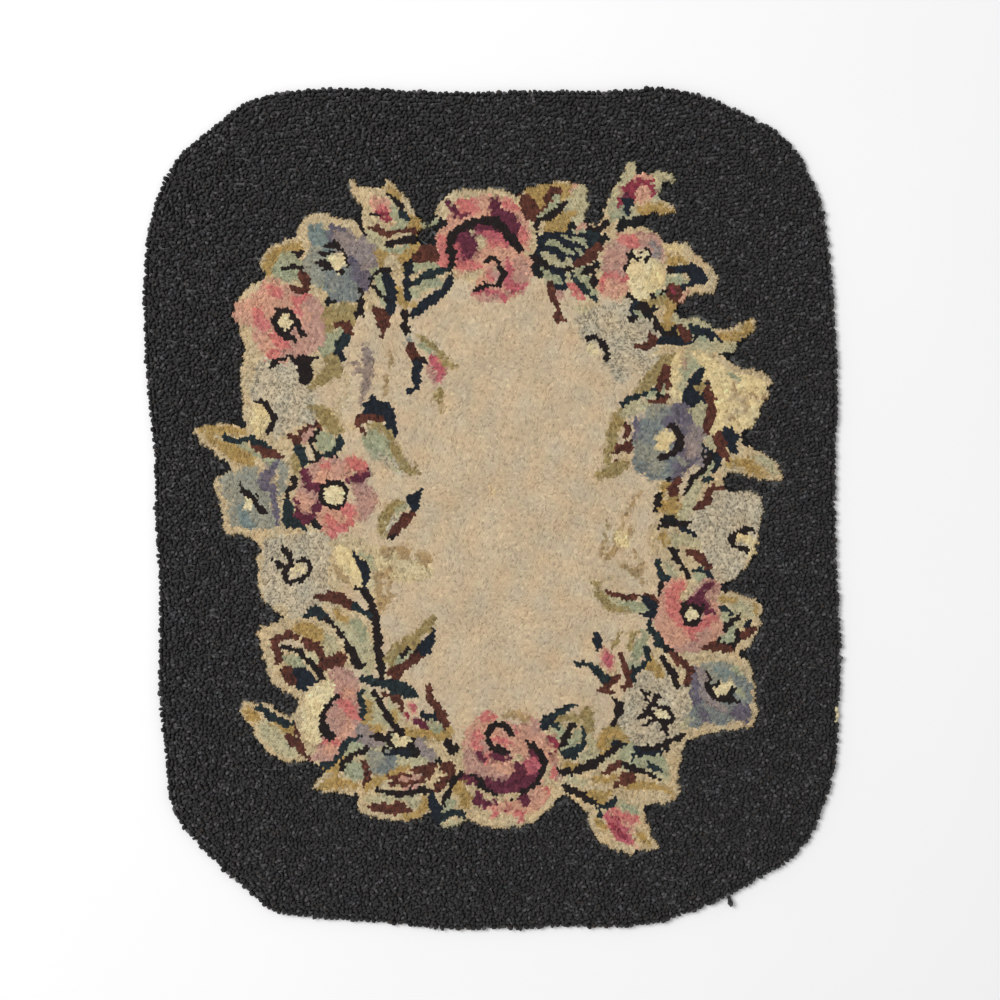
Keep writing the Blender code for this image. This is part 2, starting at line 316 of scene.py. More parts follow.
# The middle and the wreath, as marks in the order they are drawn. Places and widths are in millimetres.
WREATH = """
# Ground work that shows between the motifs
cream oval 6 6 152 212 4
custard -150 -36 14, -120 -44 22, -100 -52 30, -80 -58 24, -62 -60 14
custard -118 -62 16, -112 -80 14
sand -176 268 8, -166 275 9, -154 275 9
sand -179 240 8, -174 236 6
mustard 170 236 12, 184 236 8
butter 214 134 10, 232 128 12, 250 121 10
sand 160 24 8, 161 12 8, 158 -6 8
mustard 163 2 12, 176 3 12
cream 106 -172 18, 106 -190 20, 103 -206 18, 100 -214 10
sand 102 -239 8, 113 -238 9, 122 -236 8
sage 88 -229 16, 98 -232 16, 108 -236 8
sand 92 -250 12, 106 -248 12
sand 187 -142 10, 204 -142 10
sage 185 -172 12, 187 -190 12, 182 -203 10
cream -35 -200 22, -33 -215 18, -30 -230 14
stone -116 -231 14, -104 -233 12
sand -92 -198 8, -82 -206 9, -70 -211 8
sand -50 -222 10, -44 -232 12, -38 -238 12
mint -119 -223 6, -127 -227 8, -134 -231 5
sand -128 -238 10, -136 -246 10, -140 -254 10
mustard -146 -243 10, -150 -252 14, -152 -262 12
sand -152 -40 12, -150 -62 12, -146 -78 12
sand -188 18 8, -188 8 8, -186 0 6
sand -222 147 9, -220 137 9
# An oat flower with an ivory eye, over the mustard leaf that points left.
sand -226 172 10, -228 150 12, -231 125 14, -230 100 14, -226 80 14
sand -205 150 30, -190 130 50, -190 100 60, -195 75 50, -185 55 40, -190 35 30
sand -170 160 26, -160 130 30, -158 100 30, -155 70 30
oat petal -198 100 70 44 40
oat petal -198 100 110 46 44
oat petal -198 100 150 34 36
oat petal -198 100 20 34 40
oat petal -198 100 335 36 40
oat petal -198 100 290 46 40
oat petal -198 100 205 24 24
oat -195 128 34, -185 112 30
soot -208 136 5, -200 139 4, -190 144 5, -184 142 6, -174 139 6, -169 142 4, -164 143 1
soot -179 138 15, -178 130 13, -178 123 9
butter -222 96 10, -219 86 19, -218 78 16, -218 74 8
soot -224 101 4, -217 101 4.5, -213 96 6, -208 89 5.5, -206 82 5, -209 76 5, -214 71 5
sand -160 152 10, -154 160 10, -150 168 8
olive -158 186 8, -153 178 12, -158 172 8
mint -153 168 10, -156 160 12, -160 152 8
umber -147 174 5, -140 174 7, -137 168 6
navy -140 164 7, -143 157 10, -146 150 12, -144 143 9, -144 136 5
olive -153 143 10, -150 131 18, -162 121 12, -171 114 7
cream -165 112 8, -155 106 20, -148 118 10
olive -171 95 6, -162 93 11, -154 85 13, -147 77 10, -143 72 6
# An oat flower whose black ring has two feelers.
sand -214 -32 12, -214 -60 16, -212 -82 14, -196 -96 12
sand -200 -26 16, -175 -24 14, -160 -30 10
oat petal -184 -60 55 44 40
oat petal -184 -60 90 36 40
oat petal -184 -60 130 44 36
oat petal -184 -60 180 34 44
oat petal -184 -60 225 40 34
oat petal -184 -60 270 44 30
oat petal -184 -60 315 34 34
oat petal -184 -60 0 30 44
soot -198 -37 4, -193 -43 5, -189 -50 5, -193 -56 6, -196 -64 6, -193 -70 5, -184 -68 5,
 -176 -63 5, -172 -56 5, -174 -50 4, -181 -48 4, -188 -50 4
soot -206 -48 4, -201 -53 5, -195 -56 5
ivory -187 -58 9, -181 -57 9
# The oat flower that opens onto the cream, with a dark crescent.
sand 84 190 10, 100 193 10
oat 88 178 20, 104 176 30, 124 180 30, 142 166 24
oat 92 168 20, 112 160 30, 134 150 44, 144 136 20
oat 118 142 22, 124 130 20
sage 80 190 5, 88 187 6
umber 137 153 5, 147 154 7, 155 158 7, 150 164 5
navy 158 157 6, 168 160 10, 178 159 9, 188 158 5
sand 150 144 5, 160 148 6, 170 150 6, 182 151 4
soot 165 164 5, 171 166 5, 176 163 4
soot 88 160 2, 93 162 5, 99 161 5, 104 157 5, 108 150 6, 109 142 6
ivory 93 154 7, 97 148 7
# An oat flower at the right edge of the wreath, its ivory eye in a black crescent.
sand 206 6 10, 212 20 8, 218 26 8
sand 252 8 8, 252 -8 8, 250 -24 6, 246 -42 6, 234 -56 8, 218 -68 6
oat petal 218 -22 45 50 40
oat petal 218 -22 95 42 46
oat petal 218 -22 150 36 44
oat petal 218 -22 200 30 44
oat petal 218 -22 240 38 36
oat petal 218 -22 275 48 44
oat petal 218 -22 320 34 40
oat petal 218 -22 10 36 40
oat 206 -4 20, 200 -20 14
oat 246 6 12, 248 -8 10
ivory 238 -27 7, 244 -31 9, 245 -38 7, 242 -44 4
soot 247 -20 3, 238 -20 5, 232 -24 5, 226 -29 6, 229 -35 6, 235 -37 7, 242 -41 5
soot 247 -22 4, 238 -21 6, 229 -27 6, 227 -33 5, 233 -37 5, 241 -41 5
butter 233 -28 5, 242 -28 6, 248 -34 8, 248 -41 7
# An oat flower at the foot, on the right, its eye in a black ring with feelers.
sand 182 -208 10, 176 -196 12, 180 -178 12, 176 -160 14
oat petal 156 -192 60 46 40
oat petal 156 -192 100 38 46
oat petal 156 -192 140 38 40
oat petal 156 -192 180 32 36
oat petal 156 -192 215 38 38
oat petal 156 -192 260 36 46
oat petal 156 -192 300 34 34
oat petal 156 -192 340 30 40
oat petal 156 -192 20 34 40
soot 117 -181 5, 121 -186 10, 119 -194 6, 116 -201 6, 113 -207 5
soot 150 -187 4, 157 -188 4, 165 -189 5, 170 -195 5, 171 -200 5, 163 -201 5, 153 -200 4, 147 -203 4, 144 -206 3
soot 142 -197 6, 147 -192 5, 153 -194 4, 153 -198 4
soot 164 -203 7, 165 -212 5
soot 143 -173 2, 146 -177 6, 149 -183 4, 152 -187 5
soot 160 -178 3, 156 -178 5, 154 -184 4, 155 -187 4
ivory 157 -194 7, 163 -195 7
# A navy leaf in a sand border, with a brown heel.
sand 165 244 13, 180 246 13, 190 237 10, 202 226 12, 208 216 13, 206 208 10, 194 205 6, 183 203 6
sand 170 225 20, 185 220 20, 196 215 14
butter 168 247 6, 180 247 7
mustard 165 240 8, 166 233 9, 175 236 8, 182 233 4
navy 164 227 6, 176 225 7, 188 227 12, 196 218 13, 188 213 6, 180 209 5
soot 164 227 5, 170 225 5
mint 162 216 6, 174 217 7, 184 214 5
umber 166 209 5, 172 205 14, 176 197 9
garnet 170 208 3, 173 204 4
salmon 184 203 5, 179 197 4
soot 150 206 5, 154 200 5, 163 206 4
mint 155 207 4, 155 202 4
olive 147 196 5, 160 196 6
mustard 168 192 7, 168 182 9, 168 174 8
sand 160 188 8, 158 180 8
sage 174 184 5, 176 176 6
soot 128 203 5, 136 199 9, 138 190 11, 134 181 10
navy 136 194 7, 133 186 7
mint 136 187 4, 140 183 5, 143 181 4
soot 146 192 6, 152 183 6, 157 172 7
# Navy leaves with mint zigzags under the mustard leaf.
navy 38 244 10, 50 250 24, 70 246 32, 88 254 22, 98 260 10
soot 38 240 6, 46 234 8, 56 228 8, 74 228 5
mint 51 251 4, 60 252 4.5, 66 246 5, 73 243 5, 77 241 3
mint 68 258 3, 76 255 4.5, 84 254 4, 90 249 4
mint 79 262 3, 88 263 4
mint 82 245 4, 85 240 4.5
sage 47 241 3, 56 238 8, 62 232 7, 72 232 8, 77 231 3
teal 93 262 4, 96 257 10, 93 252 5
umber 101 250 7, 97 243 12, 88 236 10, 79 230 6
navy 58 226 9, 66 221 11, 63 211 14
mint 52 224 5, 55 217 6
mint 60 218 6, 64 213 5
sage 71 222 7, 77 220 7
soot 88 224 8, 97 227 8, 97 214 8, 93 210 4
mint 80 223 4, 88 212 6, 96 203 7
teal 75 222 4.5, 84 211 6, 92 203 5.5, 98 198 4.5
umber 55 214 7, 57 205 8, 61 195 6, 63 185 6, 62 178 5, 68 179 4
blush 62 204 6, 67 200 9
coral 74 212 6, 80 205 8, 85 198 6
sage 80 190 5, 88 187 7
# The mustard and sage leaf on the rose's right.
sand 28 292 12, 42 300 12, 60 306 8, 78 306 6, 86 302 8
mustard 38 296 16, 56 300 16, 74 297 18, 70 285 14
sage 83 300 16, 82 288 18, 80 276 14, 74 288 14
salmon 76 303 4, 80 306 5
umber 29 291 16, 33 283 23, 38 276 14
umber 48 283 10, 52 292 9, 57 300 7, 63 301 5
mustard 44 291 6, 47 287 6
mint 61 295 7, 59 288 7, 52 281 5, 43 276 4
mustard 76 279 7, 67 272 12, 57 267 11, 51 263 5
soot 69 288 6, 62 282 8, 54 276 6.5, 45 273 6, 39 268 10, 40 262 7
sand 48 267 5, 46 261 5
salmon 88 268 5, 81 265 6
# A sage bud with a garnet arch round its pink heart, and a mustard leaf.
sand 114 282 16, 122 300 14, 130 316 12, 132 326 9
sage 115 282 13, 121 300 11, 129 315 11, 133 326 8
sage 152 314 8, 160 314 9, 170 313 10
sage 155 312 10, 155 302 9, 153 294 10
salmon 134 312 5, 143 314 5, 149 314 4
salmon 145 302 16, 144 294 16
garnet 124 289 11, 128 300 11, 135 306 7
garnet 126 292 11, 130 302 10, 138 308 8, 147 309 7, 151.5 303 6.5, 152 298 5
plum 124 292 7, 127 297 5
sand 134 283 8, 148 286 10, 162 285 12, 175 281 4
mustard 137 281 7, 150 284 9, 162 284 8, 172 281 3
navy 126 290 8, 129 287 12, 128 280 6, 126 276 4
mint 123 283 4, 126 278 3
sage 133 283 5, 136 278 5, 128 274 3
mint 113 279 6, 117 275 8
sand 118 270 4, 110 264 3, 103 259 3
sand 106 275 4, 100 269 3, 92 268 3
soot 109 270 6, 102 265 6, 92 265 5
# A dusty pink flower with an ivory lower lip.
sand 112 238 22, 122 252 20, 143 254 26, 156 242 20, 150 222 30
sand 108 222 18, 112 208 20, 120 205 14
blush 113 238 17, 124 246 22, 146 250 24, 155 240 18
blush 112 226 16, 120 230 18
salmon 106 210 12, 116 208 20, 124 212 10
coral 124 256 8, 131 253 13, 137 248 6
coral 105 207 4, 105 217 6, 113 220 6, 126 217 7
mauve 152 252 6, 157 244 8, 154 236 6
ivory 138 240 8, 143 228 28, 141 210 22, 138 202 8
butter 156 230 12, 155 216 14, 148 210 14
soot 134 243 3, 130 238 4, 128 230 4, 126 225 4
soot 134 238 2, 138 236 3, 140 242 2.2
soot 146 245 3, 149 241 4, 147 235 3
# The rose at the top, peach outside and plum within.
sand -46 282 14, -30 292 22, -8 293 20, 12 292 18, 28 282 14, 35 262 12, 37 245 10
salmon -46 260 12, -45 240 16, -43 230 12
salmon -38 275 12, -15 285 20, 10 288 16, 27 268 16, 30 250 14
sand -20 240 50, 0 240 56, 12 232 44
salmon -30 228 14, -8 236 20, 15 240 22, 22 222 30, 8 212 28, -8 213 14
coral -48 256 8, -45 244 11, -46 231 10
coral -30 288 10, -22 286 16, -14 284 8
coral 12 290 6, 18 287 9, 24 284 4
coral 24 268 8, 28 260 11, 30 252 6
plum -43 291 4, -37 283 7, -30 277 8, -22 278 4
plum 5 297 4, 2 289 10, 3 283 10
plum 2 281 8, 12 278 10, 20 272 12, 24 262 6
plum -24 261 10, -27 248 20, -26 240 16
plum oval -23.5 249 11 12
rose -33 247 8, -32 240 7
plum -14 264 8, 0 265 8, 12 258 9
rose -12 260 6, 2 258 9, 12 251 9
coral -32 231 6, -24 230 11, -14 229 8
coral -4 252 6, 8 250 7
soot -40 226 5, -37 238 8, -39 252 8, -33 263 8, -20 269 8, -4 273 8, 8 268 9, 14 260 10, 21 252 11, 26 246 9
blush 26 232 12, 26 220 17, 22 212 8
rose 12 237 4, 17 229 5, 16 218 9, 18 208 9, 30 209 6
soot -7 231 3, -3 237 4.5, 5 234 5, 9 226 6, 10 218 7, 5 212 6, -4 210 5, -12 209 5.5, -17 207 3.5
blush -2 226 6, 1 221 10, -1 217 5
coral -4 222 5, -1 219 6
soot -8 215 4, -6 211 4
blush -18 203 5, -8 199 8, 4 200 7, 16 203 7
rose -15 204 3.5, -4 205 4, 8 204 4
rose 10 202 4, 13 196 4
# A navy and mint leaf left of the top rose, with a brown top and a pale tip.
sand -70 208 20, -60 220 22, -50 214 16
umber -70 240 14, -60 242 16, -53 238 8
mint -73 225 6, -66 230 7, -56 228 8
mint -70 208 8, -60 213 12, -50 213 8
navy -78 228 7, -80 214 8, -78 200 8
teal -72 214 6, -64 219 7, -53 224 8, -40 227 5
navy -74 184 7, -66 191 9, -55 199 9, -45 207 8, -38 220 5
mint -76 205 6, -70 202 5
soot -82 188 7, -82 180 7
# A pointed bud of two sepals round a pink heart, on a mustard calyx and stem.
sand -136 312 3, -126 301 12, -114 291 22, -110 275 24
sand -99 310 5, -94 300 13, -84 288 10, -76 277 9
sand -106 290 26, -102 272 36, -96 262 34
mustard -98 303 5, -94 298 9, -86 290 5
mustard -77 275 9, -72 269 11, -74 263 5
salmon -112 290 10, -104 286 16, -100 280 10
coral -106 285 5, -102 282 8, -98 280 5
garnet -109 280 4, -102 277 9, -97 273 6
soot -116 277 1.6, -107 278 2.4
mint -93 285 6, -90 276 9, -84 270 8, -92 265 7
soot -98 296 3.5, -91 291 4.5, -84 285 5
teal -86 281 5, -83 277 8, -80 275 4
umber -116 265 4, -108 265 6.5, -101 259 6, -91 262 4, -79 263 6, -71 261 4
sage -117 262 6, -108 254 13, -101 249 8
soot -99 249 6, -88 252 6.5, -74 255 7
soot -94 249 4, -92 245 3
mint -97 244 5, -89 244 7, -79 247 5
mustard -71 250 4, -76 244 8, -88 237 8, -104 237 11, -112 243 8
sand -92 222 5, -90 212 6, -90 203 4
olive -94 225 3, -84 225 3
mint -66 269 2.5, -60 267 2.5, -53 271 2.5
sand -95 233 14, -89 222 9, -88 205 7.5
mustard -88 207 7, -84 194 8, -72 193 6
# Brown, navy and mint leaves that hang from the bud at the top left.
sand -105 215 14, -112 200 14, -122 190 12
soot -126 272 5, -124 264 6, -122 257 5
soot -124 206 4, -123 194 4, -122 183 3
mint -106 220 8, -104 208 9, -102 196 8
navy -99 222 8, -95 210 8, -94 196 8, -97 184 8
navy -106 221 8, -99 209 10, -96 192 11
mint -110 222 9, -105 209 7, -102 199 6
soot -115 212 4, -109 207 5, -103 200 5
soot -112 221 3, -104 225 5, -97 225 4
umber -110 188 6, -104 182 12, -102 176 12
# A coral flower whose left petals fade to sand, with an ivory eye in a dark ring.
sand -236 190 14, -226 202 18, -206 212 18, -186 208 22, -168 196 22
sand -236 184 14, -228 168 20, -222 156 16
salmon -236 186 20, -222 184 30
salmon -213 209 14, -205 214 10
salmon -226 194 14, -212 204 16, -200 198 22, -216 182 30
salmon -196 196 30, -182 192 30, -172 180 26
blush -186 204 14, -172 196 14, -164 186 10
salmon -214 168 26, -208 154 26, -198 148 20
blush -196 156 26, -182 156 24, -170 162 24, -166 174 16
coral -210 208 7, -204 206 10, -199 202 6
coral -224 186 8, -218 180 12, -216 172 10
coral -206 164 8, -200 156 12, -194 154 7
coral -212 144 6, -204 147 9
coral -188 198 6, -182 196 8, -176 203 6
coral -186 188 6, -180 184 6
soot oval -197 177.5 12 12
soot -187 181 6, -183 172 6, -179 164 4
soot -201 168 6, -193 163 7, -187 159 5
ivory oval -196 176.8 7.6 7.2
# The curled mustard leaf between the blue and the pink flower.
sand -216 228 8, -212 240 10, -198 248 10, -182 252 10
mustard -212 222 7, -211 234 9, -202 242 10, -189 248 8, -180 249 6
mint -203 222 9, -200 232 8, -194 238 10, -186 233 8
mint -197 219 9, -188 219 8, -184 216 5
soot -188 243 4, -184 241 8, -180 243 3
soot -198 227 5, -188 228 6, -176 228 6
umber -181 221 7, -176 214 10, -174 208 6
umber -189 211 5, -183 206 8, -175 209 7
# A blue and mauve flower with an ivory eye.
sand petal -148 236 131 44 32
sand petal -148 236 65 40 36
sand petal -148 236 25 30 22
mint petal -148 236 180 26 24
mint petal -148 236 235 30 26
duck petal -148 236 128 34 27
mauve petal -148 236 62 31 30
mauve petal -148 236 12 38 30
violet petal -148 236 330 36 22
slate petal -148 236 295 38 26
duck petal -148 236 265 34 18
mint petal -148 236 195 29 22
duck -168 264 12, -163 256 20, -160 246 16
stone -166 243 14, -168 230 18, -163 218 16
slate -147 222 16, -141 212 26, -138 203 24
mauve -126 250 20, -120 236 22
violet -131 232 8, -127 220 12, -120 213 10
violet -153 265 4, -153 256 3, -154 248 3
violet -152 265 3.5, -142 266 4, -136 262 3
slate -156 222 4, -156 213 4
sand -183 262 5, -176 272 6, -163 277 8, -152 274 6, -140 270 5, -128 265 5
ivory oval -147 233 6.5 8
sand -139 268 5, -129 266 5, -127 258 5
ivory oval -146.5 233.8 7.5 7.8
soot -157 249 4, -152 250 7, -146 247 7, -141 243 4
soot -164 240.5 3, -157 241 5, -153 242 4
soot -166 232.5 3, -159 232.5 5, -155 231 4
soot -159 226 4, -154 226 5
soot -138.5 239 4, -137 233 4.5, -138 228 3
soot -147 224 4, -141 223.5 4
# A pale lily that hardly shows on the cream, with mauve streaks and sand lines.
sand -139 125 3, -138 110 3, -139 95 3
sand -140 78 5, -125 77 4
dun -122.4 154.6 3, -118.5 145 9, -117 137 11, -117.7 128 10, -119.2 117 8, -122.4 106 6, -124 99.5 3
dun -135.5 137 3, -128 138 5
dun -130 129.5 6, -124 130.5 6
dun -113 131 3, -109.5 131 2
straw -97 150 3, -95 140 5, -95 134 3
straw -99.5 125.5 3, -100 117 6, -101 108 4
# A mustard leaf with a black midrib, its tip out over the ground on the left.
sand -278 72 10, -262 68 26, -244 60 36, -226 52 34, -208 46 20
mustard -276 74 5, -265 74 9, -250 74 8, -236 72 6
mustard -270 68 6, -260 62 8, -250 54 8, -240 49 13, -233 46 10
mint -244 60 4, -236 59 6, -231 54 6
mint -227 50 8, -221 45 11, -212 45 11, -203 47 6
teal -253 69 4, -249 64 6, -243 63 6, -235 65 5, -227 67 5
teal -226 65 6, -219 61 7, -211 58 6
umber -225 58 5, -216 53 8, -206 51 7, -196 49 4
# A brown scroll round a mint heart, with navy below it.
sand -190 60 24, -170 64 34, -155 60 34
blush -171 74 6, -177 65 7
mint -165 66 9, -158 64 18, -153 58 12
umber -193 69 3, -187 66 9, -184 62 7
umber -183 68 5, -177 75 5, -170 79 5, -164 79 5, -162 74 5
soot -163 73 4, -168 69 5, -171 64 4.5, -172 61 4.5
olive -158 82 10, -149 74 8
teal -186 59 5, -182 54 11, -179 47 11, -181 40 8, -185 37 3
cream -175 58 4, -173 50 5, -171 46 4
soot -170 56 5, -166 51 5, -165 47 5, -171 43 3
teal -163 50 5, -155 51 5, -149 54 6, -145 60 8, -143 66 6
soot -151 50 4, -146 47 4
# A pink flower with plum veins and an ivory eye.
blush -170 34 14, -158 38 18, -146 40 18
salmon -160 30 12, -150 34 14, -138 36 16
coral -136 46 8, -127 42 14, -120 36 10
coral -160 40 5, -155 42 6
blush -176 12 22, -172 4 20
salmon -180 8 14, -172 2 14
blush -124 18 18, -118 8 20, -124 -4 18
salmon -160 -8 16, -150 -14 20, -142 -10 18, -134 -4 16
coral -156 -8 6, -151 -16 10, -150 -24 8
coral -146 4 6, -138 0 13, -134 -6 10
coral -148 -22 6, -140 -18 9, -134 -14 6
plum -178 34 8, -175 29 11, -174 24 6
plum -176 24 5, -172 20 6, -165 19 6, -161 17 5
plum -187 8 3, -184 3 4, -184 -4 6, -178 -9 7, -171 -8 7, -168 -2 6, -165 4 8
plum -136 26 6, -128 28 8, -121 31 10, -117 35 5
soot oval -150 13 14.5 14
ivory oval -149 12.5 10.3 9.2
# A grey and violet flower with an ivory eye and a black vein beside it.
sand petal -229 8 150 38 34
sand petal -229 8 190 30 40
sand petal -229 8 235 38 34
sand petal -229 8 275 38 34
sand petal -229 8 90 42 40
sand petal -229 8 310 44 36
sand petal -229 8 40 38 36
sand petal -229 8 0 34 36
stone petal -229 8 140 34 30
stone petal -229 8 100 32 32
stone petal -229 8 180 22 26
stone petal -229 8 235 28 24
duck petal -229 8 270 28 26
stone petal -229 8 310 34 24
stone petal -229 8 20 28 22
violet -202 44 6, -210 36 11, -216 26 11, -213 20 8
violet -208 22 7, -206 8 7, -204 -6 5, -203 -16 4
ivory -231 9 7, -229 5 9, -232 3 8
soot -238 24 2, -237 18 4, -232 15 6, -227 11 5, -223 4 5, -219 0 6, -213 -4 4
soot -223 14 3, -222 11 3
stone -199 42 8, -197 28 9, -200 14 5
olive -187 46 8, -185 36 8
soot -187 29 5, -187 22 5, -192 18 4, -193 10 5
teal -194 6 8, -193 -2 10, -192 -11 12, -185 -15 9, -177 -19 4
# A small rose bud on a dark stem, lying over the cream.
umber -103 178 14, -103 170 8, -104 163 3
soot -82 182 7, -82 172 7, -79 167 7
stone -79 162 6, -77 156 6
olive -70 163 4, -62 158 6, -54 152 6
mint -67 155 6, -60 148 6
umber -77 153 8, -74 146 10, -72 140 8
navy -71 138 9, -71 128 9, -71 118 8, -73 113 6, -79 112 6
soot -70 141 4, -65 142 6, -63 138 4
blush -58 136 7, -57 126 8, -54 118 5
rose -56 142 6, -52 136 10, -47 130 9, -50 124 9
olive -50 147 7, -46 140 8, -39 136 6, -29 132 3
olive -51 113 5, -51 107 10, -48 100 4, -48 92 3
# A big leaf curling into the cream, navy above and mint below.
mint -121 66 6, -112 66 18, -107 59 22, -102 51 16, -95 45 9
oat -104 48 9, -96 42 9, -88 36 8
sage -98 41 4, -90 36 4
olive -118 79 4, -108 78 8, -100 75 8, -96 66 8, -92 58 10, -88 48 9, -83 40 9, -76 35 8, -68 33 3
umber -127 81 7, -122 86 10, -113 88 10, -106 86 10, -102 89 5
umber -126 77 5, -121 73 4, -118 70 4
navy -114 107 3, -113 102 6, -118 96 10, -110 96 13, -102 95 13, -97 88 11, -95 79 9, -92 70 4
# A pale yellow lily, and the long dark stem that runs down from it.
sand -148 -35 10, -135 -32 14, -118 -38 10, -112 -60 10
sage -116 -46 8, -113 -56 8
butter -143 -40 12, -135 -54 22, -129 -66 14, -126 -74 6
sand -145 -56 4, -141 -60 4, -136 -67 4, -131 -73 3
mint -123 -43 4, -116 -48 5
navy -131 -43 4, -126 -49 7, -121 -55 8, -119.5 -61 8, -120 -69 6, -122 -75 4
soot -128 -76 4, -118.5 -80 7, -114 -91 7, -111 -101 8, -111 -115 10, -108 -124 9, -108 -137 8, -106 -148 8, -104 -158 7
straw -95 -57 5, -101 -62 6, -108 -63 6
straw -108 -60 5, -107 -75 7, -105 -90 7, -105 -97 4
straw -98 -66 5, -98 -78 6, -100 -86 5
straw -93 -82 4, -98 -88 5, -103 -94 5
straw -147 -54 6, -143 -60 8, -139 -67 6, -135 -73 4
# A small leaf in the cream, olive above, brown below, with a navy tip; and faint sand spots under it.
olive -86 5 6, -95 0 11, -101 -10 12, -104 -20 10, -101 -26 5
mint -82 2 5, -87 -1 7
oat -92 -9 6, -95 -17 8, -98 -23 5
umber -76 -5 6, -82 -11 10, -89 -18 10, -94 -25 7
soot -99 -28 3, -94 -27 5
navy -67 18 5, -70 13 6, -75 9 10, -80 7 5
navy -72 8 8, -73 0 7, -76 -3 3
straw oval -100 -39 6.5 5
straw -106 -43 4, -95 -44 4
straw oval -83 -42 7 6.5
straw -90 -38 4, -79 -46 5
straw oval -64 -47 7 7
straw -71 -44 5, -63 -53 5
# A leaf that points up into the cream, olive and mint with a navy and brown edge.
olive -56 -104 8, -60 -110 11, -68 -118 8, -80 -126 10, -92 -134 9, -97 -143 10
olive -70 -127 8, -86 -138 12, -95 -146 8
mint -80 -138 8, -86 -144 8, -91 -148 4
soot -80 -132 4, -82 -138 4, -86 -140 3
soot -68 -131 5, -74 -136 4
umber -66 -139 6, -75 -143 7, -84 -150 9, -92 -154 11, -97 -153 5
umber -90 -157 8, -91 -164 4
navy -56 -117 5, -58 -123 8, -63 -130 10, -66 -134 8, -60 -137 5
# A brown leaf over a mint one with a black midrib.
sand -150 -95 14, -135 -102 26, -122 -115 26, -118 -140 22
cream -126 -86 8, -120 -94 8, -114 -100 4
sage -142 -110 14, -130 -118 18, -121 -130 18, -118 -145 16, -117 -156 8
mustard -147 -97 6, -143 -103 9, -137 -106 5
mint -130 -108 8, -124 -112 8, -122 -122 8
umber -168 -84 4, -158 -83 8, -148 -84 13, -140 -88 12, -133 -93 8
teal -130 -92 5, -124 -97 5, -117 -99 4, -112 -104 6
teal -178 -103 5, -170 -98 9, -165 -97 9, -159 -103 12, -152 -110 8, -147 -118 8
soot -158 -106 8, -147 -117 9, -138 -130 9, -131 -142 10, -125 -149 9
# A round flower of brown scrolls in a sand border.
sand -216 -118 12, -200 -115 16, -180 -110 14, -160 -118 18, -148 -130 16, -140 -150 16
sand -216 -122 10, -208 -145 16, -200 -164 12, -186 -174 8, -176 -176 4
sand -195 -130 30, -180 -145 40, -165 -150 30
sage -156 -122 10, -153 -131 13, -154 -138 8, -147 -134 6
mustard -184 -113 8, -175 -114 12, -166 -119 13, -163 -126 8
umber -195 -117 5, -191 -117 5
umber -204 -146 5, -201 -140 9, -205 -133 7, -206 -126 8, -199 -122 7, -190 -122 6, -182 -121 4
umber -178 -126 6, -170 -131 11, -163 -133 8, -162 -141 8, -158 -148 13, -149 -146 14, -143 -143 10, -145 -138 6
mint -194 -142 9, -186 -145 12, -179 -149 5
cream -200 -130 5, -190 -128 4, -181 -129 5
sage -172 -139 7, -167 -145 6
soot -197 -131 5, -189 -133 6, -182 -136 6, -177 -142 5, -169 -148 5, -164 -155 8, -161 -163 6, -162 -167 3
umber -196 -153 9, -190 -158 15, -187 -164 7
navy -182 -155 7, -177 -160 15, -172 -166 8, -183 -169 6
navy -184 -154 8, -176 -161 16, -169 -167 11
# A leaf with a mustard tip that points up and left.
sand -231 -190 16, -220 -200 22, -205 -214 34, -190 -226 30, -178 -236 10
mustard -233 -191 6, -228 -196 12, -221 -201 7
sage -216 -206 11, -206 -216 18, -196 -226 17, -188 -232 9
mustard -207 -204 4, -198 -210 6, -191 -212 9, -188 -206 5
umber -185 -205 5, -184 -213 6
umber -194 -216 7, -186 -222 10, -178 -228 12, -174 -234 8
sand -216 -184 3, -208 -190 5, -203 -195 4, -188 -199 4
teal -223 -190 3, -217 -190 6, -211 -195 9, -204 -200 6, -197 -201 7, -194 -205 6, -188 -202 4
# A flower half cream and half pink, with a black line between.
sand -160 -168 14, -172 -180 18, -176 -196 20, -172 -216 18, -165 -238 12
ivory -155 -169 10, -163 -177 17, -168 -188 22, -169 -202 20, -169 -213 16, -164 -222 7
blush -150 -156 10, -142 -158 16, -134 -164 16
blush -136 -165 18, -138 -180 22, -140 -195 28, -143 -208 26, -150 -220 20, -158 -230 16, -168 -237 8
salmon -136 -172 10, -146 -200 12, -138 -208 14, -156 -228 10
coral -144 -183 7, -137 -187 11, -131 -193 8, -128 -199 5
coral -160 -222 4, -153 -221 7, -147 -222 8
garnet -144 -180 3, -142 -177 3
blush -147 -188 8, -145 -200 14, -147 -210 10
soot -146 -177 3, -150 -180 5, -155 -186 5, -159 -194 5, -161 -202 5.5, -161 -209 6
soot -161 -209 6, -158 -214 6, -151 -214 4
# A grey-blue flower, its dark eye broken up by leaves.
sage -120 -172 8, -114 -186 16, -106 -200 18
mustard -118 -184 8, -116 -193 7, -118 -205 7, -106 -209 7, -102 -213 5
mauve -122 -210 12, -117 -218 12, -120 -226 6
sage -112 -230 20, -106 -242 20, -92 -236 24
stone -110 -243 14, -100 -236 14, -112 -232 10
slate -96 -238 12, -98 -246 10, -108 -248 8
sage -80 -238 14, -66 -238 16, -58 -234 12
slate -66 -219 8, -63 -228 12, -58 -234 8
mint -96 -222 14, -80 -222 12
cream -100 -214 5, -97 -220 6
soot -113 -217 6, -106 -216 8, -102 -219 4
soot -111 -175 6, -107 -180 6, -104 -187 7, -100 -194 7, -97 -201 6, -92 -207 7, -86 -212 7, -86 -217 3
soot -98 -213 4, -97 -221 6, -92 -226 5, -83 -226 4, -77 -221 6, -74 -219 4
navy -100 -232 4, -90 -230 6, -80 -231 7, -79 -236 3
soot -73 -233 5, -69 -231 6
